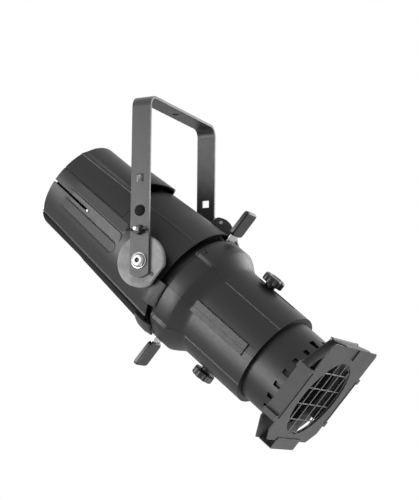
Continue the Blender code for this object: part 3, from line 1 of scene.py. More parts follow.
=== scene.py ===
"""Looks for the ellipsoidal stage spotlight: finer surfaces, small hardware, finishes, light and camera.

Metres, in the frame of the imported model. The head is drawn in its own frame about the tilt pivot:
x along the beam, y along the pivot, z upward across the beam. Polar angles are in degrees from the
head's top, positive towards -y.
"""
import json
from math import asin, ceil, cos, pi, radians, sin, sqrt, tau

import bmesh
import bpy
from mathutils import Matrix, Vector

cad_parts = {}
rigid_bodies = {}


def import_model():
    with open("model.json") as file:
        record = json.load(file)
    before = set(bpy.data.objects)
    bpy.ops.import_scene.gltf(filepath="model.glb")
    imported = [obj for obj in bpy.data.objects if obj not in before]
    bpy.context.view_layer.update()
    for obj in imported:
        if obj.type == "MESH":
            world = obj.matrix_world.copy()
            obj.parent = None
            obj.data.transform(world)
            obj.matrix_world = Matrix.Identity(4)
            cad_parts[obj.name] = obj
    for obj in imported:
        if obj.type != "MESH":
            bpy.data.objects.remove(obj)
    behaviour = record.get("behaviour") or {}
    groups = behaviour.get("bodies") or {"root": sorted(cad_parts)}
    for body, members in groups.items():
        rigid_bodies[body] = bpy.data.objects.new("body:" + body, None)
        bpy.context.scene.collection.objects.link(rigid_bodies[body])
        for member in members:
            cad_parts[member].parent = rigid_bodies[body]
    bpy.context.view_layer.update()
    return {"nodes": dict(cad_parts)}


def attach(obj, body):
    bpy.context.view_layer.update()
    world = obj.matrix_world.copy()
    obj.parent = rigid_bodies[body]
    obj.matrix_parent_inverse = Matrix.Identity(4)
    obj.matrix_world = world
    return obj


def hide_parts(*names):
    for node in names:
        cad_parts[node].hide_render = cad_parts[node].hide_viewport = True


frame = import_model()

# Sizes repeated from the part's source
BAR_WIDTH = 0.038
BAR_THICKNESS = 0.005
YOKE_SPAN = 0.282
YOKE_BEND = 0.022
PIVOT_DROP = 0.308
ARM_END_RADIUS = 0.030
HANGING_HOLE = 0.013
SQUARE_HOLE = 0.0145
SQUARE_HOLE_RISE = 0.152
PLUG_RISE = 0.092
PLUG_HEAD = 0.021
PLUG_SHANK = 0.016
PLUG_DOME = 0.004
LOCK_RISE = 0.056
TILT_AT_REST = radians(40.2)
BOLT = 0.010
BOLT_HEAD = 0.025
BOLT_HEAD_HEIGHT = 0.006
BOLT_SOCKET = 0.0095
WASHER = 0.030
WASHER_THICKNESS = 0.002
STUD = 0.008
STUD_REACH = 0.020
STUD_CHAMFER = 0.0008
STUD_HEAD = 0.013
STUD_HEAD_HEIGHT = 0.003
SHOE_LIP_THICKNESS = 0.004
DISC_RADIUS = 0.048
DISC_THICKNESS = 0.007
DISC_BEVEL = 0.003
DISC_CHORD = 0.042
DISC_GAP = 0.0005
HUB_RADIUS = 0.026
HOUSING_REAR = -0.272
HOUSING_FRONT = 0.045
HOUSING_RADIUS = 0.1125
HOUSING_TAPER = 0.068
HOUSING_RISE = 0.003
WALL = 0.003
BOSS_FACE = 0.1165
COVER_FRONT = -0.101
COVER_ANGLE = 72.5
PANEL_DROP = 0.0018
PANEL_TAPER = 0.019
HOOD_HEIGHT = 0.0105
VISOR_SETBACK = 0.038
HOOD_ANGLE = 36.5
HOOD_FOOT_ANGLE = 44.0
BEAD_ANGLE = 46.0
TRAY_ANGLE = 139.0
TRAY_BEAD_ANGLE = 136.5
TRAY_WAIST = -0.166
TRAY_STEP = -0.154
TRAY_RISES = (0.0027, 0.0003, 0.0012, 0.0028)
STRIP_ANGLES = (73.5, 85.0, 97.0, 109.0)
STRIP_HEIGHT = 0.0014
STRIP_REAR = -0.235
STRIP_FRONT = -0.074
STRIP_ROUNDING = 0.010
SIDE_SLOT_ANGLE = 91.5
SIDE_SLOT_WIDTH = 0.0045
SIDE_SLOT_FRONT = -0.166
VENT_REAR = -0.160
VENT_FRONT = -0.112
VENT_ANGLES = (8.0, 28.0)
COLLAR_REAR = 0.056
COLLAR_RADIUS = 0.114
COLLAR_EDGE = 0.1115
COLLAR_RISE_END = 0.064
SHOULDER_START = 0.096
SHOULDER_END = 0.131
BARREL_RADIUS = 0.0955
BARREL_FRONT = 0.271
BARREL_LIP = 0.006
SEAM_ANGLE = 92.5
SEAM_HALF_GAP = 0.0002
LIP_HEIGHT = 0.0030
LIP_REAR = 0.104
LIP_FRONT = 0.250
LIP_UPPER_ANGLE = 84.5
LIP_LOWER_ANGLE = 98.8
RIDGE_ANGLE = 49.0
RIDGE_HEIGHT = 0.0014
BLADE_X = 0.0570
BLADE_THICKNESS = 0.0010
NECK_WIDTH = 0.034
TUBE_RADIUS = 0.085
TUBE_WALL = 0.0025
TUBE_REAR = 0.150
TUBE_FRONT = 0.352
TUBE_FLANGE = 0.006
TUBE_SLOTS = 20
TUBE_SLOT_FRONT = 0.346
TUBE_HOLE_REAR = 0.317
TUBE_HOLE_ANGLES = (23.0, 31.0)
TUBE_FACET = 15.0
FOCUS_IN = 0.020
FOCUS_OUT = 0.060
LENS_THICKNESS = 0.006
FRONT_LENS_X = 0.304
FRONT_LENS_CROWN = 0.014
REAR_LENS_X = 0.176
REAR_LENS_CROWN = 0.018
LENS_RING_WIDTH = 0.004
LENS_RING_DEPTH = 0.004
BAFFLE_WALL = 0.0015
BAFFLE_LENGTH = 0.033
KNOB_X = 0.175
KNOB_RADIUS = 0.022
KNOB_TOP = 0.1165
KNOB_HEAD = 0.0145
KNOB_STEM = 0.010
KNOB_FLUTES = 8
KNOB_FLUTE_DEPTH = 0.0022
KNOB_BORE_END = 0.004
SHEET = 0.002
FRAME_SLOT = 0.0255
GUARD_WIRE = 0.0011
GUARD_RING_WIRE = 0.0018
GUARD_RING_RADIUS = 0.083
GUARD_PITCH = 0.034
GUARD_WIRES = 4
GAP = 0.0003
SLIDE_GAP = 0.0008
SEAT_GAP = 0.0006
STEP_ANGLE = 0.25

# Sizes of the looks alone, or a little off those of the part's source
COVER_CLEARANCE = 0.0007
COVER_EDGE = COVER_FRONT - COVER_CLEARANCE
HOOD_REAR = -0.170
HOOD_FOOT = -0.186
HOOD_CLIMB = 0.016
HOOD_ARCH = 0.046
BEAD_HEIGHT = 0.0018
BEAD_HALF_ANGLE = 1.35
TRAY_BEAD_SHARE = 1.35
STRIP_EDGE = 0.5
STRIP_GROOVE = 0.35
STRIP_LEAN = 0.0005
STRIP_END_SOFTNESS = 0.0016
# The dark sheet behind each side slot, which paints the shade inside the housing
SLOT_SHADE_SHEET = 0.0008
SLOT_SHADE_HALF_ANGLE = 4.0
RIB_LINE = ((48.0, 0.0), (49.8, -0.0008), (52.8, 0.0036), (58.5, 0.0030))
RIB_ROUNDING = (-0.2, -0.07, 0.07, 0.2)
RIB_SOFT_ANGLE = 0.8
RIDGE_FADE = 0.006
SHOULDER_CRISPNESS = 0.45
LIP_HOLLOW = 0.0004
LIP_SOFT_ANGLE = 0.6
LIP_SOFT_END = 0.001
RIM_GROOVE = 0.0605
RIM_GROOVE_DEPTH = 0.0009
RIM_GROOVE_HALF_WIDTH = 0.0013
TUBE_SLOT_REAR = 0.326
TUBE_SLOT_HALF_ANGLE = 3.1
TUBE_HOLE_FRONT = 0.326
PLATE_NOTCH_TOP = 0.048
PLATE_NOTCH_BOTTOM = -0.051
PLATE_NOTCH_LINE = 0.1065
PLATE_NOTCH_REACH = 0.2
PLATE_NOTCH_DEPTH = 0.1
BOLT_CROWN = ((0.0, 1.0), (0.45, 1.0), (0.85, 0.86), (1.0, 0.66))
BOLT_SOCKET_SHARE = 0.7
BOLT_SOCKET_RIM = 0.0006
BOLT_SOCKET_CHAMFER = 0.0005
# The black lining in each pivot bolt's socket, which paints the shade inside it
SHADE_LINING_REACH = 0.97
SHADE_LINING_BORE = 0.90
SHADE_LINING_GAP = 0.0002
SHADE_LINING_FLOOR = 0.0010
SHADE_LINING_SETBACK = 0.0008
STUD_PITCH = 0.00125
STUD_PLAIN_TIP = 0.001
THREAD_DEPTH = 0.0006
KNOB_LOWER_EDGE = 0.0015
KNOB_UPPER_EDGE = 0.0025
KNOB_DISH = 0.0012
KNOB_UNDERSIDE_SHARE = 0.94
KNOB_TOP_SHARE = 0.86
KNOB_DISH_SHARES = (0.55, 0.48)
FLUTE_SHARPNESS = 1.5
LENS_RING_SEAT = 0.12
SCREW_HEIGHT = 0.0022
SCREW_SUNK = 0.001
SCREW_DOME_SHARE = 0.45
SCREW_SOCKET_SHARE = 0.42
SCREW_SOCKET_RIM = 1.15
SCREW_SOCKET_CHAMFER = 0.0002
SCREW_SOCKET_FLOOR = 0.4
DISC_TRIM = 0.1
DISC_SCREW_X = 0.034
DISC_SCREW_Z = -0.004
DISC_SCREW_RADIUS = 0.0042
DISC_SCREW_HEIGHT = DISC_GAP * 0.8
COLLAR_SCREW_X = 0.066
COLLAR_SCREW_RADIUS = 0.0046
COLLAR_SCREWS = (("collar_screw_", 44.0), ("collar_screw_low_", 152.0))
TOP_CATCH_FACE = -10.6
TOP_CATCH_SCREWS = ((0.008, 0.1265, 0.0042), (-0.007, 0.1250, 0.0026))

# How finely the surfaces are drawn
EDGE_STEP = 0.0001
EDGE_ANGLE = 0.05
FINE_FACET = 3.0
HOOD_STATION = 0.003
COVER_STATION = 0.012
STATION = 0.02
COARSE_STATION = 0.03
STRIP_END_STATION = 0.0008
STEP_SLACK = 0.05
BEND_STEPS = 16
ARM_END_STEPS = 12
ARM_END_PARTS = 11.8
HOLE_ROUND = 48
CUT_REACH = 1.0
WELD = 0.00001
FLAT_ANGLE = 0.3
ON_AXIS = 1e-7
WIRE_SIDES = 12
ROUND = 64
FINE_ROUND = 96
FINEST_ROUND = 128
SMALL_ROUND = 36
STUD_ROUND = 32

# Widths of rounded edges, and the angles from which an edge stays sharp
HAIR_EDGE = 0.0001
SCREW_EDGE = 0.00015
FINE_EDGE = 0.0002
THIN_EDGE = 0.0003
SMALL_EDGE = 0.0004
PLAIN_EDGE = 0.0005
BAR_EDGE = 0.0006
ROUND_EDGE = 0.0008
WING_EDGE = 0.0010
GRIP_EDGE = 0.0012
SHARP_ANGLE = 35.0
SHELL_SHARP_ANGLE = 38.0
TURNED_SHARP_ANGLE = 40.0
NODE_SHARP_ANGLE = 32.0
CUT_SHARP_ANGLE = 30.0
WING_SHARP_ANGLE = 28.0

# The most of a side that a rounded corner may take
CORNER_LIMIT = 0.45

# Settings of the stage, light and camera
AMBIENT = 0.30
FLOOR_DROP = -1.50
FLOOR_REACH = 12.0
FLOOR_GREY = 0.82
FLOOR_ROUGHNESS = 0.8
FLOOR_GLOW = 0.42
LIGHT_TARGET = Vector((0.05, 0.0, -0.30))
# Each lamp: its name, the way to it, its distance, width, height, power in watts and beam in degrees
LAMPS = (
    ("key", (-0.605, -0.793, -0.063), 2.1, 1.1, 1.8, 9.0, 60.0),
    ("far_side", (0.45, 0.85, 0.25), 2.0, 1.4, 1.4, 5.0, 70.0),
    ("rear", (-0.75, 0.25, 0.60), 2.0, 1.4, 1.4, 4.0, 70.0),
    ("fill", (0.45, 0.10, -0.88), 1.1, 0.8, 0.8, 2.8, 100.0),
)
CAMERA_SPOT = Vector((1.25341, -2.50410, -0.71166))
CAMERA_TARGET = Vector((0.06295, 0.02307, -0.26841))
CAMERA_ROLL = radians(0.50)
CAMERA_LENS = 108.0
CAMERA_SENSOR = 36.0

SIDES = (("left", 1), ("right", -1))
ENDS = (("top", 1), ("bottom", -1))

HEAD = Matrix.Translation((0, 0, -PIVOT_DROP)) @ Matrix.Rotation(TILT_AT_REST, 4, 'Y')
LEVEL = Matrix.Identity(4)
BOX_FACES = ((0, 1, 2, 3), (7, 6, 5, 4), (0, 4, 5, 1), (1, 5, 6, 2), (2, 6, 7, 3), (3, 7, 4, 0))


# Finishes

def node(tree, kind, **inputs):
    made = tree.nodes.new(kind)
    for name, value in inputs.items():
        made.inputs[name.replace("_", " ")].default_value = value
    return made


def new_material(name):
    material = bpy.data.materials.new(name)
    material.use_nodes = True
    tree = material.node_tree
    return material, tree, tree.nodes["Principled BSDF"]


def ramp(tree, source, dark, light, low=0.3, high=0.7):
    """A colour between two colours, driven by a noise output."""
    made = tree.nodes.new("ShaderNodeValToRGB")
    first, last = made.color_ramp.elements
    first.position = low
    last.position = high
    first.color = (*dark, 1)
    last.color = (*light, 1)
    tree.links.new(source, made.inputs["Fac"])
    return made.outputs["Color"]


def noise(tree, coordinates, scale, detail=3.0, rough=0.6):
    made = node(tree, "ShaderNodeTexNoise", Scale=scale, Detail=detail, Roughness=rough)
    tree.links.new(coordinates, made.inputs["Vector"])
    return made.outputs["Fac"]


def object_place(tree):
    return tree.nodes.new("ShaderNodeTexCoord").outputs["Object"]


def uneven_gloss(tree, shader, source, rough, gloss_spread):
    low = (rough - gloss_spread,) * 3
    high = (rough + gloss_spread,) * 3
    tree.links.new(ramp(tree, source, low, high), shader.inputs["Roughness"])


def relief(tree, shader, source, strength, depth):
    made = node(tree, "ShaderNodeBump", Strength=strength, Distance=depth)
    tree.links.new(source, made.inputs["Height"])
    tree.links.new(made.outputs["Normal"], shader.inputs["Normal"])


CLOUD_SCALE = 26.0
GLOSS_SCALE = 90.0
GRAIN_SCALE = 1500.0
GRAIN_STRENGTH = 0.08
GRAIN_DEPTH = 0.0004
MARK_STRETCH = (300.0, 300.0, 2600.0)
MARK_STRENGTH = 0.06
MARK_DEPTH = 0.0002
METAL_CLOUD_SCALE = 70.0
METAL_DARK_SHARE = 0.86
DUST_SCALE = 140.0
DUST_GLOSS = ((0.02,) * 3, (0.06,) * 3)
GLASS_TINT = (0.93, 0.96, 0.95, 1)
GLASS_IOR = 1.5


def coated(name, colour, rough, tone=0.10, gloss_spread=0.03, specular=0.5):
    """A painted or moulded surface: cloudy tone, uneven gloss and a fine grain."""
    material, tree, shader = new_material(name)
    place = object_place(tree)
    cloud = noise(tree, place, CLOUD_SCALE, 4.0)
    dark = tuple(part * (1 - tone) for part in colour)
    light = tuple(part * (1 + tone) for part in colour)
    tree.links.new(ramp(tree, cloud, dark, light), shader.inputs["Base Color"])
    uneven_gloss(tree, shader, noise(tree, place, GLOSS_SCALE), rough, gloss_spread)
    relief(tree, shader, noise(tree, place, GRAIN_SCALE, 2.0, 0.5), GRAIN_STRENGTH, GRAIN_DEPTH)
    shader.inputs["Specular IOR Level"].default_value = specular
    return material


def metal(name, colour, rough, gloss_spread=0.08):
    """Bare metal with the fine marks that its making leaves along one way."""
    material, tree, shader = new_material(name)
    place = object_place(tree)
    lay = node(tree, "ShaderNodeMapping", Scale=MARK_STRETCH)
    tree.links.new(place, lay.inputs["Vector"])
    marks = noise(tree, lay.outputs["Vector"], 1.0)
    cloud = noise(tree, place, METAL_CLOUD_SCALE)
    dark = tuple(part * METAL_DARK_SHARE for part in colour)
    tree.links.new(ramp(tree, cloud, dark, colour), shader.inputs["Base Color"])
    uneven_gloss(tree, shader, marks, rough, gloss_spread)
    relief(tree, shader, marks, MARK_STRENGTH, MARK_DEPTH)
    shader.inputs["Metallic"].default_value = 1.0
    return material


def glass(name):
    """Clear glass with a little dust."""
    material, tree, shader = new_material(name)
    dust = noise(tree, object_place(tree), DUST_SCALE, 4.0)
    tree.links.new(ramp(tree, dust, *DUST_GLOSS, 0.4, 0.8), shader.inputs["Roughness"])
    shader.inputs["Base Color"].default_value = GLASS_TINT
    shader.inputs["Transmission Weight"].default_value = 1.0
    shader.inputs["IOR"].default_value = GLASS_IOR
    return material


# The record's slots, then looks of some pieces that differ from their slot: own finishes, and copies that
# paint light or shade
LOOKS = {
    "black_paint": coated("satin_black_paint", (0.0078, 0.0078, 0.0084), 0.44, specular=0.43),
    "grey_paint": coated("yoke_paint", (0.031, 0.031, 0.0324), 0.43, specular=0.45),
    "disc_metal": coated("disc_grey", (0.235, 0.235, 0.239), 0.52, 0.40, 0.08, specular=0.20),
    "bright_steel": metal("bright_steel", (0.36, 0.36, 0.356), 0.47),
    "fin_aluminium": metal("fin_aluminium", (0.60, 0.61, 0.62), 0.36),
    "reflector_mirror": metal("reflector_mirror", (0.84, 0.85, 0.86), 0.10, 0.04),
    "lens_glass": glass("lens_glass"),
    "black_plastic": coated("black_plastic", (0.0125, 0.0125, 0.013), 0.37, specular=0.42),
    "emitter": coated("emitter_phosphor", (0.72, 0.52, 0.12), 0.45),
    "holder_paint": coated("holder_paint", (0.057, 0.057, 0.0585), 0.48, specular=0.27),
    # A light grey for the guard's wires in place of their black paint: painted sheen along the thin wires
    "guard_wire": coated("guard_wire", (0.16, 0.16, 0.158), 0.36),
    # A lighter copy of the steel for the shutter blades: painted reflection of a bright surround
    "blade_steel": metal("blade_steel", (0.62, 0.62, 0.61), 0.36),
    # A darker, duller copy of the black paint: painted shade on the housing's underside and behind the side
    # slots
    "tray_black": coated("tray_black", (0.0070, 0.0070, 0.0075), 0.68, specular=0.10),
    "plug_rubber": coated("plug_rubber", (0.0125, 0.0125, 0.013), 0.78, specular=0.08),
}


# Making pieces

def link(name, data):
    made = bpy.data.objects.new(name, data)
    bpy.context.scene.collection.objects.link(made)
    return made


def new_mesh(name, verts, faces, place=LEVEL):
    """A mesh with no loose points and every face turned outwards."""
    mesh = bpy.data.meshes.new(name)
    mesh.from_pydata([place @ Vector(point) for point in verts], [], faces)
    shape = bmesh.new()
    shape.from_mesh(mesh)
    loose = [vert for vert in shape.verts if not vert.link_faces]
    bmesh.ops.delete(shape, geom=loose, context='VERTS')
    bmesh.ops.recalc_face_normals(shape, faces=shape.faces)
    shape.to_mesh(mesh)
    shape.free()
    return mesh


def body_of(name):
    return frame["nodes"][name].parent.name.split(":")[-1]


def settle(name, mesh, slot, smooth=SHARP_ANGLE, bevel=0.0, look=None, body=None):
    """Make a mesh into a finished piece that rides on a body.

    It takes the place of the CAD node of its name, or is one piece more if there's no such node.
    A look takes the place of the slot's own finish.
    """
    replaces = (name,) if name in frame["nodes"] else ()
    body = body or body_of(name)
    mesh.shade_smooth()
    mesh.set_sharp_from_angle(angle=radians(smooth))
    mesh.materials.clear()
    mesh.materials.append(LOOKS[look or slot])
    piece = link(name + ".look" if replaces else name, mesh)
    mesh.name = piece.name
    if bevel:
        edge = piece.modifiers.new("edges", 'BEVEL')
        edge.width = bevel
        edge.segments = 3
        edge.limit_method = 'ANGLE'
        edge.angle_limit = radians(smooth)
        edge.harden_normals = True
    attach(piece, body)
    if replaces:
        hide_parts(*replaces)


def soften(profile, radius, closed=False, steps=3):
    """Round the corners of a profile of (along, radius) points."""
    count = len(profile)
    made = []
    for index, point in enumerate(profile):
        if not closed and index in (0, count - 1):
            made.append(point)
            continue
        here = Vector(point[:2])
        before = Vector(profile[index - 1][:2]) - here
        after = Vector(profile[(index + 1) % count][:2]) - here
        reach = min(radius, before.length * CORNER_LIMIT, after.length * CORNER_LIMIT)
        start = here + before.normalized() * reach
        end = here + after.normalized() * reach
        for step in range(steps + 1):
            share = step / steps
            spot = start * (1 - share) ** 2 + here * 2 * share * (1 - share) + end * share ** 2
            made.append((spot.x, spot.y) + tuple(point[2:]))
    return made


def hexagon(angle):
    """A hexagon's reach at an angle, for a flat-to-flat half-width of 1."""
    return 1 / cos((angle % (pi / 3)) - pi / 6)


def lathe(profile, segments=ROUND, flutes=0):
    """Turn (along, radius[, shape]) points about Z. The shape is "hex", or a flute depth."""
    verts = []
    rows = []
    for point in profile:
        shape = point[2] if len(point) > 2 else 0
        row = []
        for step in range(1 if point[1] < ON_AXIS else segments):
            angle = tau * step / segments
            reach = point[1]
            if shape == "hex":
                reach *= hexagon(angle)
            elif shape:
                reach -= shape * (0.5 - 0.5 * cos(flutes * angle)) ** FLUTE_SHARPNESS
            row.append(len(verts))
            verts.append((reach * cos(angle), reach * sin(angle), point[0]))
        rows.append(row)
    pairs = list(zip(rows, rows[1:]))
    if len(rows[0]) > 1:
        pairs.append((rows[-1], rows[0]))
    faces = []
    for low, high in pairs:
        for step in range(segments):
            after = (step + 1) % segments
            if len(low) == 1:
                faces.append((low[0], high[step], high[after]))
            elif len(high) == 1:
                faces.append((low[step], high[0], low[after]))
            else:
                faces.append((low[step], high[step], high[after], low[after]))
    return verts, faces


def facing(spot, direction):
    """A place at a spot whose Z points along a direction."""
    return Matrix.Translation(spot) @ Vector(direction).to_track_quat('Z', 'Y').to_matrix().to_4x4()


def sleeve(start, end, radius, bore=0):
    """The profile of a plain rod or ring."""
    return [(start, bore), (start, radius), (end, radius), (end, bore)]


def turned(name, profile, slot, place, segments=ROUND, corner=SMALL_EDGE, flutes=0, look=None, body=None):
    """A lathe piece with its corners rounded."""
    closed = profile[0][1] > 0
    verts, faces = lathe(soften(profile, corner, closed), segments, flutes)
    settle(name, new_mesh(name, verts, faces, place), slot, TURNED_SHARP_ANGLE, look=look, body=body)


def copy_mesh(name):
    """A CAD node's own shape as a new mesh with whole faces."""
    source = frame["nodes"][name].data
    shape = bmesh.new()
    for vert in source.vertices:
        shape.verts.new(vert.co)
    shape.verts.ensure_lookup_table()
    for face in source.polygons:
        shape.faces.new([shape.verts[index] for index in face.vertices])
    bmesh.ops.remove_doubles(shape, verts=shape.verts, dist=WELD)
    bmesh.ops.dissolve_limit(shape, angle_limit=radians(FLAT_ANGLE), verts=shape.verts, edges=shape.edges)
    bmesh.ops.recalc_face_normals(shape, faces=shape.faces)
    mesh = bpy.data.meshes.new(name + ".look")
    shape.to_mesh(mesh)
    shape.free()
    return mesh


def dress(name, slot, bevel=PLAIN_EDGE, smooth=NODE_SHARP_ANGLE, look=None):
    """A CAD node's own shape with its edges rounded, in place of the node."""
    settle(name, copy_mesh(name), slot, smooth, bevel, look)


# Polar surfaces about the beam axis

def ease(value, start, end):
    share = min(1, max(0, (value - start) / (end - start)))
    return share * share * (3 - 2 * share)


def soft(value, edge, width):
    return ease(value, edge - width / 2, edge + width / 2)


def bump(offset, half_width):
    """A smooth ridge, 1 at its middle and 0 at its feet."""
    share = min(1, abs(offset) / half_width)
    return (1 - share * share) ** 2


def from_top(angle):
    turned_back = (angle + 180) % 360 - 180
    return abs(turned_back)


def within(value, low, high):
    return low < value < high


def spread(first, last, extra, step):
    """Values from first to last at most one step apart, with the extra ones among them."""
    fixed = sorted({first, last} | {value for value in extra if first < value < last})
    values = [first]
    for low, high in zip(fixed, fixed[1:]):
        count = max(1, ceil((high - low) / step - STEP_SLACK))
        values += [low + (high - low) * part / count for part in range(1, count + 1)]
    return values


def around(edge, width):
    return [edge + width * share for share in (-0.5, -0.25, 0, 0.25, 0.5)]


def ridge_angles(middle):
    """The angles that a narrow ridge needs to come out round."""
    return [middle + BEAD_HALF_ANGLE * part / 5 for part in range(-5, 6)]


def polar_point(x, radius, angle):
    return (x, -radius * sin(radians(angle)), radius * cos(radians(angle)))


def polar_shell(name, stations, angles, outer, inner, is_void=None, closed=False, slide=None, look=None,
                body=None):
    """A wall between two polar radius functions, with some of its cells left open.

    A slide function moves a station along the beam at each angle, for an end that isn't square.
    """
    rows = len(stations)
    columns = len(angles)
    spans = columns if closed else columns - 1
    spots = [(slide(x, angle) if slide else x, angle) for x in stations for angle in angles]
    verts = [polar_point(x, outer(x, angle), angle) for x, angle in spots]
    verts += [polar_point(x, inner(x, angle), angle) for x, angle in spots]
    middles_x = [(low + high) / 2 for low, high in zip(stations, stations[1:])]
    nexts = angles[1:] + [angles[0] + 360]
    middles = [(low + high) / 2 for low, high in zip(angles, nexts)]

    def is_solid(i, j):
        if closed:
            j %= spans
        if not (0 <= i < rows - 1 and 0 <= j < spans):
            return False
        return is_void is None or not is_void(middles_x[i], middles[j])

    def corner(side, i, j):
        return side * rows * columns + i * columns + j % columns

    faces = []
    for i in range(rows - 1):
        for j in range(spans):
            if not is_solid(i, j):
                continue
            ring = ((i, j), (i, j + 1), (i + 1, j + 1), (i + 1, j))
            beside = ((i - 1, j), (i, j + 1), (i + 1, j), (i, j - 1))
            faces.append(tuple(corner(0, *spot) for spot in ring))
            faces.append(tuple(corner(1, *spot) for spot in reversed(ring)))
            for edge in range(4):
                if not is_solid(*beside[edge]):
                    first = ring[edge]
                    second = ring[(edge + 1) % 4]
                    faces.append((corner(0, *second), corner(0, *first),
                                  corner(1, *first), corner(1, *second)))
    mesh = new_mesh(name, verts, faces, HEAD)
    settle(name, mesh, "black_paint", SHELL_SHARP_ANGLE, look=look, body=body)


# Lamp housing

def housing_radius(x, angle):
    return HOUSING_RADIUS + HOUSING_TAPER * x + HOUSING_RISE * cos(radians(angle))


def read_off(profile, x):
    """The value at x on a profile of (x, value) points, straight between them."""
    for (low, first), (high, second) in zip(profile, profile[1:]):
        if x <= high:
            return first + (second - first) * max(0, (x - low) / (high - low))
    return profile[-1][1]


def hood_climb(x, angle):
    """How far the cover has climbed from the sunk panel to the hood, whose rear edge is arched."""
    foot = HOOD_FOOT + HOOD_ARCH * min(1, from_top(angle) / HOOD_ANGLE) ** 2
    return ease(x, foot, foot + HOOD_CLIMB)


def panel_drop(x, angle):
    """How far the sunk panel on top, behind the hood, lies below the cone."""
    across = 1 - ease(from_top(angle), HOOD_ANGLE, HOOD_FOOT_ANGLE)
    along = 1 - hood_climb(x, angle)
    depth = PANEL_DROP + (HOUSING_TAPER - PANEL_TAPER) * (x - HOUSING_REAR)
    return depth * across * along


def seat_inner(x, angle):
    """The inside of the housing where its wall steps in under the cover and the tray."""
    return housing_radius(x, angle) - panel_drop(x, angle) - 2 * WALL - SEAT_GAP


def housing_inner(x, angle):
    if x < COVER_FRONT + 2 * EDGE_STEP or from_top(angle) > TRAY_ANGLE - 2 * STEP_ANGLE:
        return seat_inner(x, angle)
    return housing_radius(x, angle) - WALL


def strip_height(x, side):
    """Three raised strips along each side, with thin grooves between them and round front ends."""
    for low, high in zip(STRIP_ANGLES, STRIP_ANGLES[1:]):
        if within(side, low, high):
            share = min(1, abs(side - (low + high) / 2) / ((high - low) / 2))
            end = STRIP_FRONT - STRIP_ROUNDING * (1 - sqrt(1 - share * share))
            rise = ease(x, STRIP_REAR, STRIP_REAR + 2 * STRIP_ROUNDING)
            rise *= 1 - soft(x, end, STRIP_END_SOFTNESS)
            rise *= soft(side, low + STRIP_GROOVE, STRIP_EDGE)
            rise *= 1 - soft(side, high - STRIP_GROOVE, STRIP_EDGE)
            half_chord = radians(high - low) / 2
            hollow = HOUSING_RADIUS * half_chord * half_chord / 2 * (1 - share * share)
            lean = STRIP_LEAN * (low + high - 2 * side) / (high - low)
            return (STRIP_HEIGHT - hollow + lean) * rise
    return 0


def housing_outer(x, angle):
    side = from_top(angle)
    radius = housing_radius(x, angle)
    if side < COVER_ANGLE and x < COVER_FRONT or side > TRAY_ANGLE:
        return radius - panel_drop(x, angle) - WALL - SEAT_GAP
    radius += TRAY_BEAD_SHARE * BEAD_HEIGHT * bump(side - TRAY_BEAD_ANGLE, BEAD_HALF_ANGLE)
    if x > COVER_FRONT:
        radius += BEAD_HEIGHT / 2 * bump(side - BEAD_ANGLE, BEAD_HALF_ANGLE)
    return radius + strip_height(x, side)


def housing_features():
    half = SIDE_SLOT_WIDTH / 2 / (HOUSING_RADIUS + HOUSING_TAPER * HOUSING_REAR) * 360 / tau
    features = [SIDE_SLOT_ANGLE - half, SIDE_SLOT_ANGLE + half, *VENT_ANGLES]
    for edge in (COVER_ANGLE, TRAY_ANGLE):
        features += [edge - EDGE_ANGLE, edge + EDGE_ANGLE]
    features += ridge_angles(BEAD_ANGLE) + ridge_angles(TRAY_BEAD_ANGLE) + hood_angles()
    for low, high in zip(STRIP_ANGLES, STRIP_ANGLES[1:]):
        features += [low] + around(low + STRIP_GROOVE, STRIP_EDGE) + around(high - STRIP_GROOVE, STRIP_EDGE)
        features += [low + (high - low) * part / 8 for part in range(1, 8)]
    return features, half


def make_housing():
    features, half = housing_features()
    angles = spread(0, 360, features + [360 - angle for angle in features], FINE_FACET)[:-1]
    ends = [STRIP_FRONT - STRIP_ROUNDING + STRIP_END_STATION * step for step in range(-2, 15)]
    rears = [STRIP_REAR + 2 * STRIP_ROUNDING * step / 6 for step in range(7)]
    fixed = ends + rears + ramp_stations()
    fixed += [SIDE_SLOT_FRONT, VENT_REAR, VENT_FRONT, COVER_FRONT - EDGE_STEP, COVER_FRONT + EDGE_STEP]
    stations = spread(HOUSING_REAR, HOUSING_FRONT, fixed, STATION)

    def is_void(x, angle):
        side = from_top(angle)
        if x < SIDE_SLOT_FRONT and abs(side - SIDE_SLOT_ANGLE) < half:
            return True
        return within(side, *VENT_ANGLES) and within(x, VENT_REAR, VENT_FRONT)

    polar_shell("housing_shell", stations, angles, housing_outer, housing_inner, is_void, True)
    make_slot_shade_sheets()
    for side, sign in SIDES:
        boss = sleeve(HOUSING_RADIUS - 3 * WALL, BOSS_FACE, HUB_RADIUS)
        place = HEAD @ facing((0, 0, 0), (0, sign, 0))
        turned("pivot_boss_" + side, boss, "black_paint", place, body="head")


def make_slot_shade_sheets():
    """A thin dark sheet behind each side slot, so that no light shows through the housing: painted shade for
    the dark inside of the housing.
    """
    stations = spread(HOUSING_REAR + WALL, SIDE_SLOT_FRONT + WALL, (), COARSE_STATION)

    def outer(x, angle):
        return seat_inner(x, angle) - GAP

    def inner(x, angle):
        return seat_inner(x, angle) - GAP - SLOT_SHADE_SHEET

    for side, sign in SIDES:
        middle = -sign * SIDE_SLOT_ANGLE
        angles = spread(middle - SLOT_SHADE_HALF_ANGLE, middle + SLOT_SHADE_HALF_ANGLE, (), FINE_FACET)
        polar_shell("slot_liner_" + side, stations, angles, outer, inner, look="tray_black", body="head")


def hood_angles():
    return [HOOD_ANGLE + (HOOD_FOOT_ANGLE - HOOD_ANGLE) * part / 8 for part in range(9)]


def ramp_stations():
    return spread(HOOD_FOOT, HOOD_FOOT + HOOD_ARCH + HOOD_CLIMB, (), HOOD_STATION)


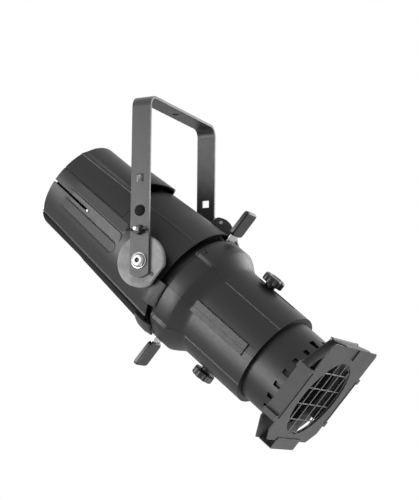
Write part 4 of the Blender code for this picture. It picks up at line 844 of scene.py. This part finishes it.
def cover_rise(x, angle):
    """The cover's height over the cone: a sunk panel at the rear that climbs to a raised hood."""
    hood = 1 - ease(from_top(angle), HOOD_ANGLE, HOOD_FOOT_ANGLE)
    return HOOD_HEIGHT * hood_climb(x, angle) * hood - panel_drop(x, angle)


def cover_outer(x, angle):
    bead = BEAD_HEIGHT * bump(from_top(angle) - BEAD_ANGLE, BEAD_HALF_ANGLE)
    return housing_radius(x, angle) + cover_rise(x, angle) + bead


def cover_inner(x, angle):
    return housing_radius(x, angle) + cover_rise(x, angle) - WALL


def cover_slide(x, angle):
    """The cover's front edge: the hood's is a visor, set back towards its feet."""
    side = from_top(angle)
    if x <= HOOD_REAR or side > HOOD_FOOT_ANGLE:
        return x
    setback = VISOR_SETBACK * side / HOOD_FOOT_ANGLE
    return x - setback * (x - HOOD_REAR) / (COVER_EDGE - HOOD_REAR)


def tray_profile():
    return list(zip((HOUSING_REAR, TRAY_WAIST, TRAY_STEP, HOUSING_FRONT), TRAY_RISES))


def tray_outer(x, angle):
    return housing_radius(x, angle) + read_off(tray_profile(), x)


def make_covers():
    edge = COVER_ANGLE - 2 * STEP_ANGLE
    features = hood_angles() + ridge_angles(BEAD_ANGLE) + [HOOD_FOOT_ANGLE + 2 * STEP_ANGLE]
    angles = spread(-edge, edge, features + [-angle for angle in features], FINE_FACET)
    stations = spread(HOUSING_REAR, COVER_EDGE, ramp_stations(), COVER_STATION)
    polar_shell("top_cover", stations, angles, cover_outer, cover_inner, slide=cover_slide)
    edge = TRAY_ANGLE + 3 * STEP_ANGLE
    angles = spread(edge, 360 - edge, (), FINE_FACET)
    stations = spread(HOUSING_REAR, HOUSING_FRONT, (TRAY_WAIST, TRAY_STEP), COARSE_STATION)

    def inner(x, angle):
        return housing_radius(x, angle) - WALL

    # The tray takes the darker copy of the black paint, as painted shade under the housing
    polar_shell("bottom_tray", stations, angles, tray_outer, inner, look="tray_black")


# Barrel and lens tube

def shoulder_share(x):
    """How far down the shoulder x lies: a crisp start, a straight slope and a soft end."""
    share = min(1, max(0, (x - SHOULDER_START) / (SHOULDER_END - SHOULDER_START)))
    crisp = 1 - (1 - share) ** 2
    return SHOULDER_CRISPNESS * crisp + (1 - SHOULDER_CRISPNESS) * share * share * (3 - 2 * share)


def barrel_profile(x):
    rear = COLLAR_EDGE + (COLLAR_RADIUS - COLLAR_EDGE) * ease(x, COLLAR_REAR, COLLAR_RISE_END)
    groove = RIM_GROOVE_DEPTH * bump(x - RIM_GROOVE, RIM_GROOVE_HALF_WIDTH)
    return rear - groove - (COLLAR_RADIUS - BARREL_RADIUS) * shoulder_share(x)


def collar_recess(x, angle):
    """How far the collar's sides lie inside its top and bottom, up to the sloping ribs."""
    side = from_top(angle)
    across = min(side, 180 - side)
    depth = sum(read_off(RIB_LINE, across + shift) for shift in RIB_ROUNDING) / len(RIB_ROUNDING)
    return depth * (1 - ease(x, SHOULDER_START, SHOULDER_END))


def barrel_outer(x, angle):
    side = from_top(angle)
    across = min(side, 180 - side)
    ridge = RIDGE_HEIGHT * bump(across - RIDGE_ANGLE, BEAD_HALF_ANGLE) * soft(x, SHOULDER_END, RIDGE_FADE)
    plain = barrel_profile(x) - collar_recess(x, angle) + ridge
    on_lip = soft(side, LIP_UPPER_ANGLE, LIP_SOFT_ANGLE)
    on_lip *= 1 - soft(side, LIP_LOWER_ANGLE, LIP_SOFT_ANGLE)
    on_lip *= 1 - soft(x, LIP_FRONT, LIP_SOFT_END)
    if x > LIP_REAR and on_lip > 0:
        off_middle = side - (LIP_UPPER_ANGLE + LIP_LOWER_ANGLE) / 2
        top = max(plain, (BARREL_RADIUS + LIP_HEIGHT - LIP_HOLLOW) / cos(radians(off_middle)))
        return plain + (top - plain) * on_lip
    return plain


def barrel_inner(x, angle):
    if x > BARREL_FRONT - BARREL_LIP:
        return TUBE_RADIUS + SLIDE_GAP
    return barrel_profile(x) - collar_recess(x, angle) - WALL


def make_barrel_half(name, first, last, centre):
    half = STUD / 2 + 2 * SLIDE_GAP
    slot_rear = KNOB_X - FOCUS_IN - half
    slot_front = KNOB_X + FOCUS_OUT + half
    notch = BLADE_X + 2 * BLADE_THICKNESS + 3 * GAP
    notch_half = (NECK_WIDTH / 2 + 2 * SLIDE_GAP) / (COLLAR_EDGE - WALL) * 360 / tau
    slot_half = half / BARREL_RADIUS * 360 / tau
    features = [centre - notch_half, centre + notch_half, centre - slot_half, centre + slot_half]
    ribs = ridge_angles(RIDGE_ANGLE)
    for angle, _ in RIB_LINE:
        ribs += around(angle, RIB_SOFT_ANGLE)
    features += ribs + [180 - angle for angle in ribs]
    features += around(LIP_UPPER_ANGLE, LIP_SOFT_ANGLE) + around(LIP_LOWER_ANGLE, LIP_SOFT_ANGLE)
    features += [360 - angle for angle in features] + [-angle for angle in features]
    angles = spread(first, last, features, FINE_FACET)
    rise = [COLLAR_REAR + (COLLAR_RISE_END - COLLAR_REAR) * part / 6 for part in range(7)]
    shoulder = [SHOULDER_START + (SHOULDER_END - SHOULDER_START) * part / 20 for part in range(21)]
    fixed = rise + shoulder + around(LIP_FRONT, LIP_SOFT_END) + [notch, slot_rear, slot_front]
    fixed += around(RIM_GROOVE, 2 * RIM_GROOVE_HALF_WIDTH)
    lip_rear = BARREL_FRONT - BARREL_LIP
    fixed += [SHOULDER_END + RIDGE_FADE / 2, lip_rear - EDGE_STEP, lip_rear + EDGE_STEP]
    stations = spread(COLLAR_REAR, BARREL_FRONT, fixed, STATION)

    def is_void(x, angle):
        off_centre = abs(angle - centre)
        if x < notch and off_centre < notch_half:
            return True
        return within(x, slot_rear, slot_front) and off_centre < slot_half

    polar_shell(name, stations, angles, barrel_outer, barrel_inner, is_void)


def make_barrel():
    gap = SEAM_HALF_GAP / BARREL_RADIUS * 360 / tau
    make_barrel_half("barrel_upper", gap - SEAM_ANGLE, SEAM_ANGLE - gap, 0)
    make_barrel_half("barrel_lower", SEAM_ANGLE + gap, 360 - SEAM_ANGLE - gap, 180)


def make_lens_tube():
    pitch = 360 / TUBE_SLOTS
    edges = []
    for slot in range(TUBE_SLOTS):
        centre = pitch * (slot + 0.5)
        edges += [centre - TUBE_SLOT_HALF_ANGLE, centre + TUBE_SLOT_HALF_ANGLE]
    features = edges[1:] + list(TUBE_HOLE_ANGLES)
    angles = spread(edges[0], edges[0] + 360, features, FINE_FACET)[:-1]
    flange_end = TUBE_REAR + TUBE_FLANGE
    fixed = [flange_end - EDGE_STEP, flange_end + EDGE_STEP, TUBE_HOLE_REAR, TUBE_HOLE_FRONT,
             TUBE_SLOT_REAR, TUBE_SLOT_FRONT]
    stations = spread(TUBE_REAR, TUBE_FRONT, fixed, COARSE_STATION)
    flange = BARREL_RADIUS - WALL - SLIDE_GAP

    def outer(x, angle):
        return flange if x < flange_end else TUBE_RADIUS

    def inner(x, angle):
        return TUBE_RADIUS - TUBE_WALL

    def is_void(x, angle):
        if within(x, TUBE_HOLE_REAR, TUBE_HOLE_FRONT):
            return within(angle, *TUBE_HOLE_ANGLES)
        off_slot = abs(angle % pitch - pitch / 2)
        return within(x, TUBE_SLOT_REAR, TUBE_SLOT_FRONT) and off_slot < TUBE_SLOT_HALF_ANGLE

    polar_shell("lens_tube", stations, angles, outer, inner, is_void, True)


# Yoke, pivots and locks

def rectangle(left, low, right, high):
    return ((left, low), (right, low), (right, high), (left, high))


def loft_faces(count, sides):
    """The faces of a bar through rings of points, with closed ends."""
    total = count * sides
    faces = [tuple(range(sides)), tuple(range(total - 1, total - sides - 1, -1))]
    for low in range(0, total - sides, sides):
        for side in range(sides):
            after = (side + 1) % sides
            faces.append((low + side, low + sides + side, low + sides + after, low + after))
    return faces


def head_box(ends, outline, sign=1):
    """A box along the beam in the head's frame, as a cutter."""
    return [HEAD @ Vector((x, sign * y, z)) for x in ends for y, z in outline], BOX_FACES


def carve(piece, cutters):
    """Cut closed shapes out of a piece, and keep only the result."""
    for verts, faces in cutters:
        made = piece.modifiers.new("cut", 'BOOLEAN')
        made.operation = 'DIFFERENCE'
        made.solver = 'EXACT'
        made.object = link("cutter", new_mesh("cutter", verts, faces))
    bpy.context.view_layer.update()
    depsgraph = bpy.context.evaluated_depsgraph_get()
    mesh = bpy.data.meshes.new_from_object(piece.evaluated_get(depsgraph))
    tools = [made.object for made in piece.modifiers]
    bpy.data.objects.remove(piece)
    for tool in tools:
        bpy.data.objects.remove(tool)
    return mesh


def yoke_stations():
    """Rows of the bar from end to end. The last row of an arm stops short of its tip, as a narrow flat."""
    half = YOKE_SPAN / 2
    inner_bend = YOKE_BEND - BAR_THICKNESS
    right = []
    for step in range(BEND_STEPS + 1):
        angle = radians(90 * step / BEND_STEPS)
        outer = (half - YOKE_BEND + YOKE_BEND * sin(angle), YOKE_BEND * cos(angle) - YOKE_BEND)
        inner = (half - YOKE_BEND + inner_bend * sin(angle), inner_bend * cos(angle) - YOKE_BEND)
        right.append((outer, inner, BAR_WIDTH / 2))
    widest = asin(BAR_WIDTH / 2 / ARM_END_RADIUS)
    for step in range(ARM_END_STEPS):
        angle = widest * (1 - step / ARM_END_PARTS)
        drop = PIVOT_DROP + ARM_END_RADIUS * cos(angle)
        right.append(((half, -drop), (half - BAR_THICKNESS, -drop), ARM_END_RADIUS * sin(angle)))
    left = [((-outer[0], outer[1]), (-inner[0], inner[1]), width) for outer, inner, width in reversed(right)]
    return left + right


def hole(radius, way, spot):
    """A long round cutter through a spot."""
    verts, faces = lathe(sleeve(-CUT_REACH, CUT_REACH, radius), HOLE_ROUND)
    place = facing(spot, way)
    return [place @ Vector(vert) for vert in verts], faces


def make_yoke():
    stations = yoke_stations()
    verts = []
    for outer, inner, width in stations:
        verts += [(-width, *outer), (width, *outer), (width, *inner), (-width, *inner)]
    bar = link("yoke_bar", new_mesh("yoke", verts, loft_faces(len(stations), 4)))
    half = SQUARE_HOLE / 2
    height = SQUARE_HOLE_RISE - PIVOT_DROP
    outline = rectangle(-half, height - half, half, height + half)
    square = [(x, y, z) for y in (-CUT_REACH, CUT_REACH) for x, z in outline]
    cutters = [hole(HANGING_HOLE / 2, (0, 0, 1), (0, 0, 0)), (square, BOX_FACES)]
    for radius, rise in ((BOLT / 2 + GAP, 0), (STUD / 2 + GAP, LOCK_RISE), (PLUG_SHANK / 2 + GAP, PLUG_RISE)):
        cutters.append(hole(radius, (0, 1, 0), (0, 0, rise - PIVOT_DROP)))
    settle("yoke", carve(bar, cutters), "grey_paint", CUT_SHARP_ANGLE, BAR_EDGE)


def make_pivot(side, sign):
    arm = YOKE_SPAN / 2
    head = arm + WASHER_THICKNESS + 2 * GAP
    top = head + BOLT_HEAD_HEIGHT
    outward = (0, sign, 0)
    place = facing((0, 0, -PIVOT_DROP), outward)
    ring = sleeve(arm + GAP, head - GAP, WASHER / 2, BOLT / 2 + GAP)
    turned("pivot_washer_" + side, ring, "bright_steel", place)
    well = top - BOLT_HEAD_HEIGHT * BOLT_SOCKET_SHARE
    flat = BOLT_SOCKET / 2 * cos(pi / 6)
    bolt = [(BOSS_FACE + GAP, 0), (BOSS_FACE + GAP, BOLT / 2), (head, BOLT / 2)]
    bolt += [(head + BOLT_HEAD_HEIGHT * up, BOLT_HEAD / 2 * out) for up, out in BOLT_CROWN]
    bolt += [(top, flat + BOLT_SOCKET_RIM), (top - BOLT_SOCKET_CHAMFER, flat, "hex"), (well, flat, "hex"),
             (well, 0)]
    turned("pivot_bolt_" + side, bolt, "bright_steel", place)
    # A black lining inside the bolt's hex socket: painted shade for the socket's dark inside
    reach = flat * SHADE_LINING_REACH
    bore = flat * SHADE_LINING_BORE
    mouth = top - SHADE_LINING_SETBACK
    shade_lining = [(well + SHADE_LINING_GAP, 0), (well + SHADE_LINING_GAP, reach, "hex"), (mouth, reach, "hex"),
              (mouth, bore, "hex"), (well + SHADE_LINING_FLOOR, bore, "hex"), (well + SHADE_LINING_FLOOR, 0)]
    turned("pivot_socket_" + side, shade_lining, "black_paint", place, corner=HAIR_EDGE, body="yoke")
    face = arm + GAP
    plug = [(face - BAR_THICKNESS, 0), (face - BAR_THICKNESS, PLUG_SHANK / 2), (face, PLUG_SHANK / 2),
            (face, PLUG_HEAD / 2)]
    for part in range(1, 8):
        angle = pi / 2 * part / 8
        plug.append((face + PLUG_DOME * sin(angle), PLUG_HEAD / 2 * cos(angle)))
    plug.append((face + PLUG_DOME, 0))
    place = facing((0, 0, PLUG_RISE - PIVOT_DROP), outward)
    turned("yoke_plug_" + side, plug, "black_plastic", place, corner=FINE_EDGE, look="plug_rubber")
    make_disc(side, sign)
    make_lock(side, sign)


def make_disc(side, sign):
    outer = YOKE_SPAN / 2 - BAR_THICKNESS - DISC_GAP
    inner = outer - DISC_THICKNESS
    bore = BOLT / 2 + GAP
    profile = [(BOSS_FACE + GAP, bore), (BOSS_FACE + GAP, HUB_RADIUS), (inner, HUB_RADIUS),
               (inner, DISC_RADIUS), (outer - DISC_BEVEL / 2, DISC_RADIUS),
               (outer, DISC_RADIUS - DISC_BEVEL), (outer, bore)]
    verts, faces = lathe(soften(profile, SMALL_EDGE, True), FINEST_ROUND)
    place = HEAD @ facing((0, 0, 0), (0, sign, 0))
    mesh = bpy.data.meshes.new("disc")
    mesh.from_pydata([place @ Vector(vert) for vert in verts], [], faces)
    disc = link("disc", mesh)
    ends = (DISC_CHORD, 2 * DISC_RADIUS)
    trim = head_box(ends, rectangle(-CUT_REACH, -DISC_TRIM, CUT_REACH, DISC_TRIM))
    settle("pivot_disc_" + side, carve(disc, [trim]), "disc_metal", CUT_SHARP_ANGLE, SMALL_EDGE)


def make_lock(side, sign):
    dress("tilt_shoe_" + side, "bright_steel", BAR_EDGE)
    place = facing((0, 0, LOCK_RISE - PIVOT_DROP), (0, sign, 0))
    inner = YOKE_SPAN / 2 - BAR_THICKNESS - DISC_GAP - DISC_THICKNESS
    base = inner - SHOE_LIP_THICKNESS - 2 * GAP
    start = YOKE_SPAN / 2
    tip = start + STUD_REACH
    radius = STUD / 2
    profile = [(base - STUD_HEAD_HEIGHT, 0), (base - STUD_HEAD_HEIGHT, STUD_HEAD / 2),
               (base, STUD_HEAD / 2), (base, radius)]
    for turn in range(int((tip - STUD_PLAIN_TIP - start) / STUD_PITCH)):
        profile.append((start + turn * STUD_PITCH, radius))
        profile.append((start + (turn + 0.5) * STUD_PITCH, radius - THREAD_DEPTH))
    profile += [(tip - STUD_CHAMFER, radius), (tip, radius - STUD_CHAMFER), (tip, 0)]
    turned("lock_stud_" + side, profile, "bright_steel", place, STUD_ROUND, HAIR_EDGE)
    dress("wing_nut_" + side, "black_paint", WING_EDGE, WING_SHARP_ANGLE)


# Focus knobs, guard and lenses

def make_knob(end, sign):
    place = HEAD @ facing((KNOB_X, 0, 0), (0, 0, sign))
    bottom = KNOB_TOP - KNOB_HEAD
    base = BARREL_RADIUS + RIDGE_HEIGHT / 2
    bore = STUD / 2 + GAP
    roof = KNOB_TOP - KNOB_BORE_END
    flute = KNOB_FLUTE_DEPTH
    rim, dish = (KNOB_RADIUS * share for share in KNOB_DISH_SHARES)
    underside = KNOB_RADIUS * KNOB_UNDERSIDE_SHARE
    crown = KNOB_RADIUS * KNOB_TOP_SHARE
    profile = [(roof, 0), (roof, bore), (base, bore), (base, KNOB_STEM), (bottom, KNOB_STEM),
               (bottom, underside, flute), (bottom + KNOB_LOWER_EDGE, KNOB_RADIUS, flute),
               (KNOB_TOP - KNOB_UPPER_EDGE, KNOB_RADIUS, flute), (KNOB_TOP, crown, flute),
               (KNOB_TOP, rim), (KNOB_TOP - KNOB_DISH, dish), (KNOB_TOP - KNOB_DISH, 0)]
    turned("focus_knob_" + end, profile, "black_plastic", place, FINEST_ROUND, ROUND_EDGE, KNOB_FLUTES)
    stud = sleeve(TUBE_RADIUS + GAP, roof - GAP, STUD / 2)
    turned("knob_stud_" + end, stud, "bright_steel", place, STUD_ROUND)


def tube_along(points, radius, sides):
    """A round bar along points, with closed ends."""
    verts = []
    count = len(points)
    for index, point in enumerate(points):
        ahead = points[min(index + 1, count - 1)] - points[max(index - 1, 0)]
        turn = ahead.to_track_quat('Z', 'Y')
        for side in range(sides):
            angle = tau * side / sides
            verts.append(point + turn @ Vector((radius * cos(angle), radius * sin(angle), 0)))
    return verts, loft_faces(count, sides)


def make_guard():
    front = TUBE_FRONT + GAP + SHEET + FRAME_SLOT
    apart = GUARD_WIRE + GAP / 2
    x = front - apart - GUARD_WIRE - GAP
    ring = []
    for step in range(WIRE_SIDES):
        angle = tau * step / WIRE_SIDES
        ring.append((x + GUARD_RING_WIRE * cos(angle), GUARD_RING_RADIUS + GUARD_RING_WIRE * sin(angle)))
    verts, faces = lathe(ring, FINE_ROUND)
    verts = [(along, side, up) for side, up, along in verts]
    for wire in range(GUARD_WIRES):
        across = (wire - (GUARD_WIRES - 1) / 2) * GUARD_PITCH
        reach = sqrt(GUARD_RING_RADIUS ** 2 - across * across)
        upright = [Vector((x + apart, across, way * reach)) for way in (-1, 1)]
        level = [Vector((x - apart, way * reach, across)) for way in (-1, 1)]
        for points in (upright, level):
            first = len(verts)
            bar, bar_faces = tube_along(points, GUARD_WIRE, WIRE_SIDES)
            verts += [tuple(vert) for vert in bar]
            faces += [tuple(first + index for index in face) for face in bar_faces]
    # The wires take the light grey, a painted sheen
    settle("wire_guard", new_mesh("wire_guard", verts, faces, HEAD), "black_paint", look="guard_wire")


def make_holder_front():
    """The front plate, drawn back a little from the side rails so that they stand clear of it."""
    plate = link("plate", copy_mesh("holder_front"))
    ends = (TUBE_FRONT, TUBE_FRONT + PLATE_NOTCH_DEPTH)
    outline = rectangle(PLATE_NOTCH_LINE, PLATE_NOTCH_BOTTOM, PLATE_NOTCH_REACH, PLATE_NOTCH_TOP)
    cutters = [head_box(ends, outline, sign) for _, sign in SIDES]
    plate_mesh = carve(plate, cutters)
    settle("holder_front", plate_mesh, "black_paint", NODE_SHARP_ANGLE, PLAIN_EDGE, "holder_paint")


def make_lens(name, x, crown, baffle):
    """A plano-convex lens and its ring, which may run on as a sleeve towards the front."""
    radius = (TUBE_RADIUS - TUBE_WALL) * cos(radians(TUBE_FACET / 2)) - GAP
    edge = x + LENS_THICKNESS
    profile = [(x, 0), (x, radius)]
    for part in range(16):
        share = 1 - part / 16
        profile.append((edge + crown * (1 - share * share), radius * share))
    profile.append((edge + crown, 0))
    place = HEAD @ facing((0, 0, 0), (1, 0, 0))
    turned(name, profile, "lens_glass", place, FINE_ROUND, THIN_EDGE)
    start = edge + crown * LENS_RING_SEAT + GAP
    end = start + LENS_RING_DEPTH
    bore = radius - LENS_RING_WIDTH
    ring = [(start, bore), (start, radius), (end, radius)]
    if baffle:
        ring += [(end, bore + BAFFLE_WALL), (end + baffle, bore + BAFFLE_WALL), (end + baffle, bore)]
    else:
        ring.append((end, bore))
    turned(name + "_ring", ring, "black_paint", place, FINE_ROUND)


# Small fasteners

def make_screw(name, place, radius, height=SCREW_HEIGHT, slot="bright_steel"):
    """A button-head screw with a hexagon socket, standing on the surface at a place on the head."""
    socket = radius * SCREW_SOCKET_SHARE
    floor = height * SCREW_SOCKET_FLOOR
    profile = [(-SCREW_SUNK, 0), (-SCREW_SUNK, radius), (0, radius)]
    for part in range(1, 6):
        angle = pi / 2 * part / 6
        reach = 1 - SCREW_DOME_SHARE + SCREW_DOME_SHARE * cos(angle)
        profile.append((height * sin(angle), radius * reach))
    profile += [(height, socket * SCREW_SOCKET_RIM), (height - SCREW_SOCKET_CHAMFER, socket, "hex"),
                (floor, socket, "hex"), (floor, 0)]
    turned(name, profile, slot, place, SMALL_ROUND, SCREW_EDGE, body="head")


def polar_place(x, radius, angle):
    spot = polar_point(x, radius, angle)
    return HEAD @ facing(spot, polar_point(0, 1, angle))


def make_catch_screws():
    """The screws in the near side of the top catch, whose face follows a ray from the beam axis."""
    outward = (0, -cos(radians(TOP_CATCH_FACE)), -sin(radians(TOP_CATCH_FACE)))
    for index, (x, reach, radius) in enumerate(TOP_CATCH_SCREWS):
        place = HEAD @ facing(polar_point(x, reach, TOP_CATCH_FACE), outward)
        make_screw("top_catch_screw_%d" % index, place, radius)


def make_screws():
    outer = YOKE_SPAN / 2 - BAR_THICKNESS - DISC_GAP
    for side, sign in SIDES:
        place = HEAD @ facing((DISC_SCREW_X, sign * outer, DISC_SCREW_Z), (0, sign, 0))
        make_screw("disc_screw_" + side, place, DISC_SCREW_RADIUS, DISC_SCREW_HEIGHT, "black_paint")
        for name, angle in COLLAR_SCREWS:
            place = polar_place(COLLAR_SCREW_X, COLLAR_RADIUS, -sign * angle)
            make_screw(name + side, place, COLLAR_SCREW_RADIUS, slot="black_paint")
    make_catch_screws()


# All pieces

def make_all():
    make_housing()
    make_covers()
    make_barrel()
    make_lens_tube()
    make_yoke()
    for side, sign in SIDES:
        make_pivot(side, sign)
        dress("slot_pin_" + side, "bright_steel", SMALL_EDGE)
        dress("side_link_" + side, "black_paint", ROUND_EDGE)
        dress("side_rail_" + side, "black_paint", BAR_EDGE, look="holder_paint")
        dress("data_socket_" + side, "black_plastic", SMALL_EDGE)
    for end, sign in ENDS:
        make_knob(end, sign)
        # The blades take the lighter steel, a painted reflection
        dress("shutter_blade_" + end, "bright_steel", FINE_EDGE, look="blade_steel")
        dress("shutter_grip_" + end, "black_plastic", GRIP_EDGE)
    make_guard()
    make_lens("front_lens", FRONT_LENS_X, FRONT_LENS_CROWN, BAFFLE_LENGTH)
    make_lens("rear_lens", REAR_LENS_X, REAR_LENS_CROWN, 0)
    for name in ("bottom_catch", "top_catch"):
        dress(name, "black_paint")
    make_holder_front()
    for name in ("holder_back", "bottom_rest", "frame_latch"):
        dress(name, "black_paint", look="holder_paint")
    for name in ("rear_panel", "front_bulkhead", "gate_frame", "gate_plate"):
        dress(name, "black_paint", THIN_EDGE)
    for name in ("power_inlet", "fan_frame", "fan_rotor"):
        dress(name, "black_plastic", SMALL_EDGE)
    for name in ("heat_sink", "engine_plate"):
        dress(name, "fin_aluminium", THIN_EDGE)
    dress("led_board", "emitter", FINE_EDGE)
    dress("reflector", "reflector_mirror", 0.0)
    dress("latch_pin", "bright_steel", THIN_EDGE)
    make_screws()


make_all()


# Stage, light and camera

def shown_rays(tree):
    """One where the camera, a reflection or glass shows the surface, and nought for its light."""
    rays = tree.nodes.new("ShaderNodeLightPath")
    shown = rays.outputs["Is Camera Ray"]
    for kind in ("Is Glossy Ray", "Is Transmission Ray"):
        either = tree.nodes.new("ShaderNodeMath")
        either.operation = 'MAXIMUM'
        tree.links.new(shown, either.inputs[0])
        tree.links.new(rays.outputs[kind], either.inputs[1])
        shown = either.outputs[0]
    return shown


def set_strength(tree, socket, unseen, seen):
    """A strength for the light that falls on the object, and another where the surface is seen."""
    levels = node(tree, "ShaderNodeMapRange", To_Min=unseen, To_Max=seen)
    tree.links.new(shown_rays(tree), levels.inputs["Value"])
    tree.links.new(levels.outputs["Result"], socket)


def make_world():
    """Plain white where it is seen, and softer as light."""
    world = bpy.data.worlds.new("studio")
    bpy.context.scene.world = world
    world.use_nodes = True
    back = world.node_tree.nodes["Background"]
    back.inputs["Color"].default_value = (1, 1, 1, 1)
    set_strength(world.node_tree, back.inputs["Strength"], AMBIENT, 1.0)


def make_floor():
    """A pale floor that takes the object's shadow."""
    corners = rectangle(-FLOOR_REACH, -FLOOR_REACH, FLOOR_REACH, FLOOR_REACH)
    mesh = bpy.data.meshes.new("floor")
    mesh.from_pydata([(x, y, FLOOR_DROP) for x, y in corners], [], [(0, 1, 2, 3)])
    material, tree, shader = new_material("floor")
    shader.inputs["Base Color"].default_value = (FLOOR_GREY, FLOOR_GREY, FLOOR_GREY, 1)
    shader.inputs["Roughness"].default_value = FLOOR_ROUGHNESS
    shader.inputs["Emission Color"].default_value = (1, 1, 1, 1)
    set_strength(tree, shader.inputs["Emission Strength"], 0.0, FLOOR_GLOW)
    mesh.materials.append(material)
    floor = link("floor", mesh)


def add_light(name, spot, width, height, power, beam):
    """A soft rectangular lamp aimed at the object."""
    data = bpy.data.lights.new(name, 'AREA')
    data.shape = 'RECTANGLE'
    data.size = width
    data.size_y = height
    data.energy = power
    data.spread = radians(beam)
    lamp = link(name, data)
    lamp.location = spot
    lamp.rotation_euler = (LIGHT_TARGET - spot).to_track_quat('-Z', 'Y').to_euler()


def make_camera():
    data = bpy.data.cameras.new("camera")
    data.lens = CAMERA_LENS
    data.sensor_width = CAMERA_SENSOR
    camera = link("camera", data)
    aim = (CAMERA_TARGET - CAMERA_SPOT).to_track_quat('-Z', 'Y').to_matrix()
    turn = aim @ Matrix.Rotation(CAMERA_ROLL, 3, 'Z')
    camera.matrix_world = Matrix.Translation(CAMERA_SPOT) @ turn.to_4x4()
    bpy.context.scene.camera = camera


make_world()
make_floor()
for lamp_name, way, distance, *rest in LAMPS:
    add_light(lamp_name, LIGHT_TARGET + Vector(way) * distance, *rest)
make_camera()
bpy.context.scene.view_settings.view_transform = 'Standard'
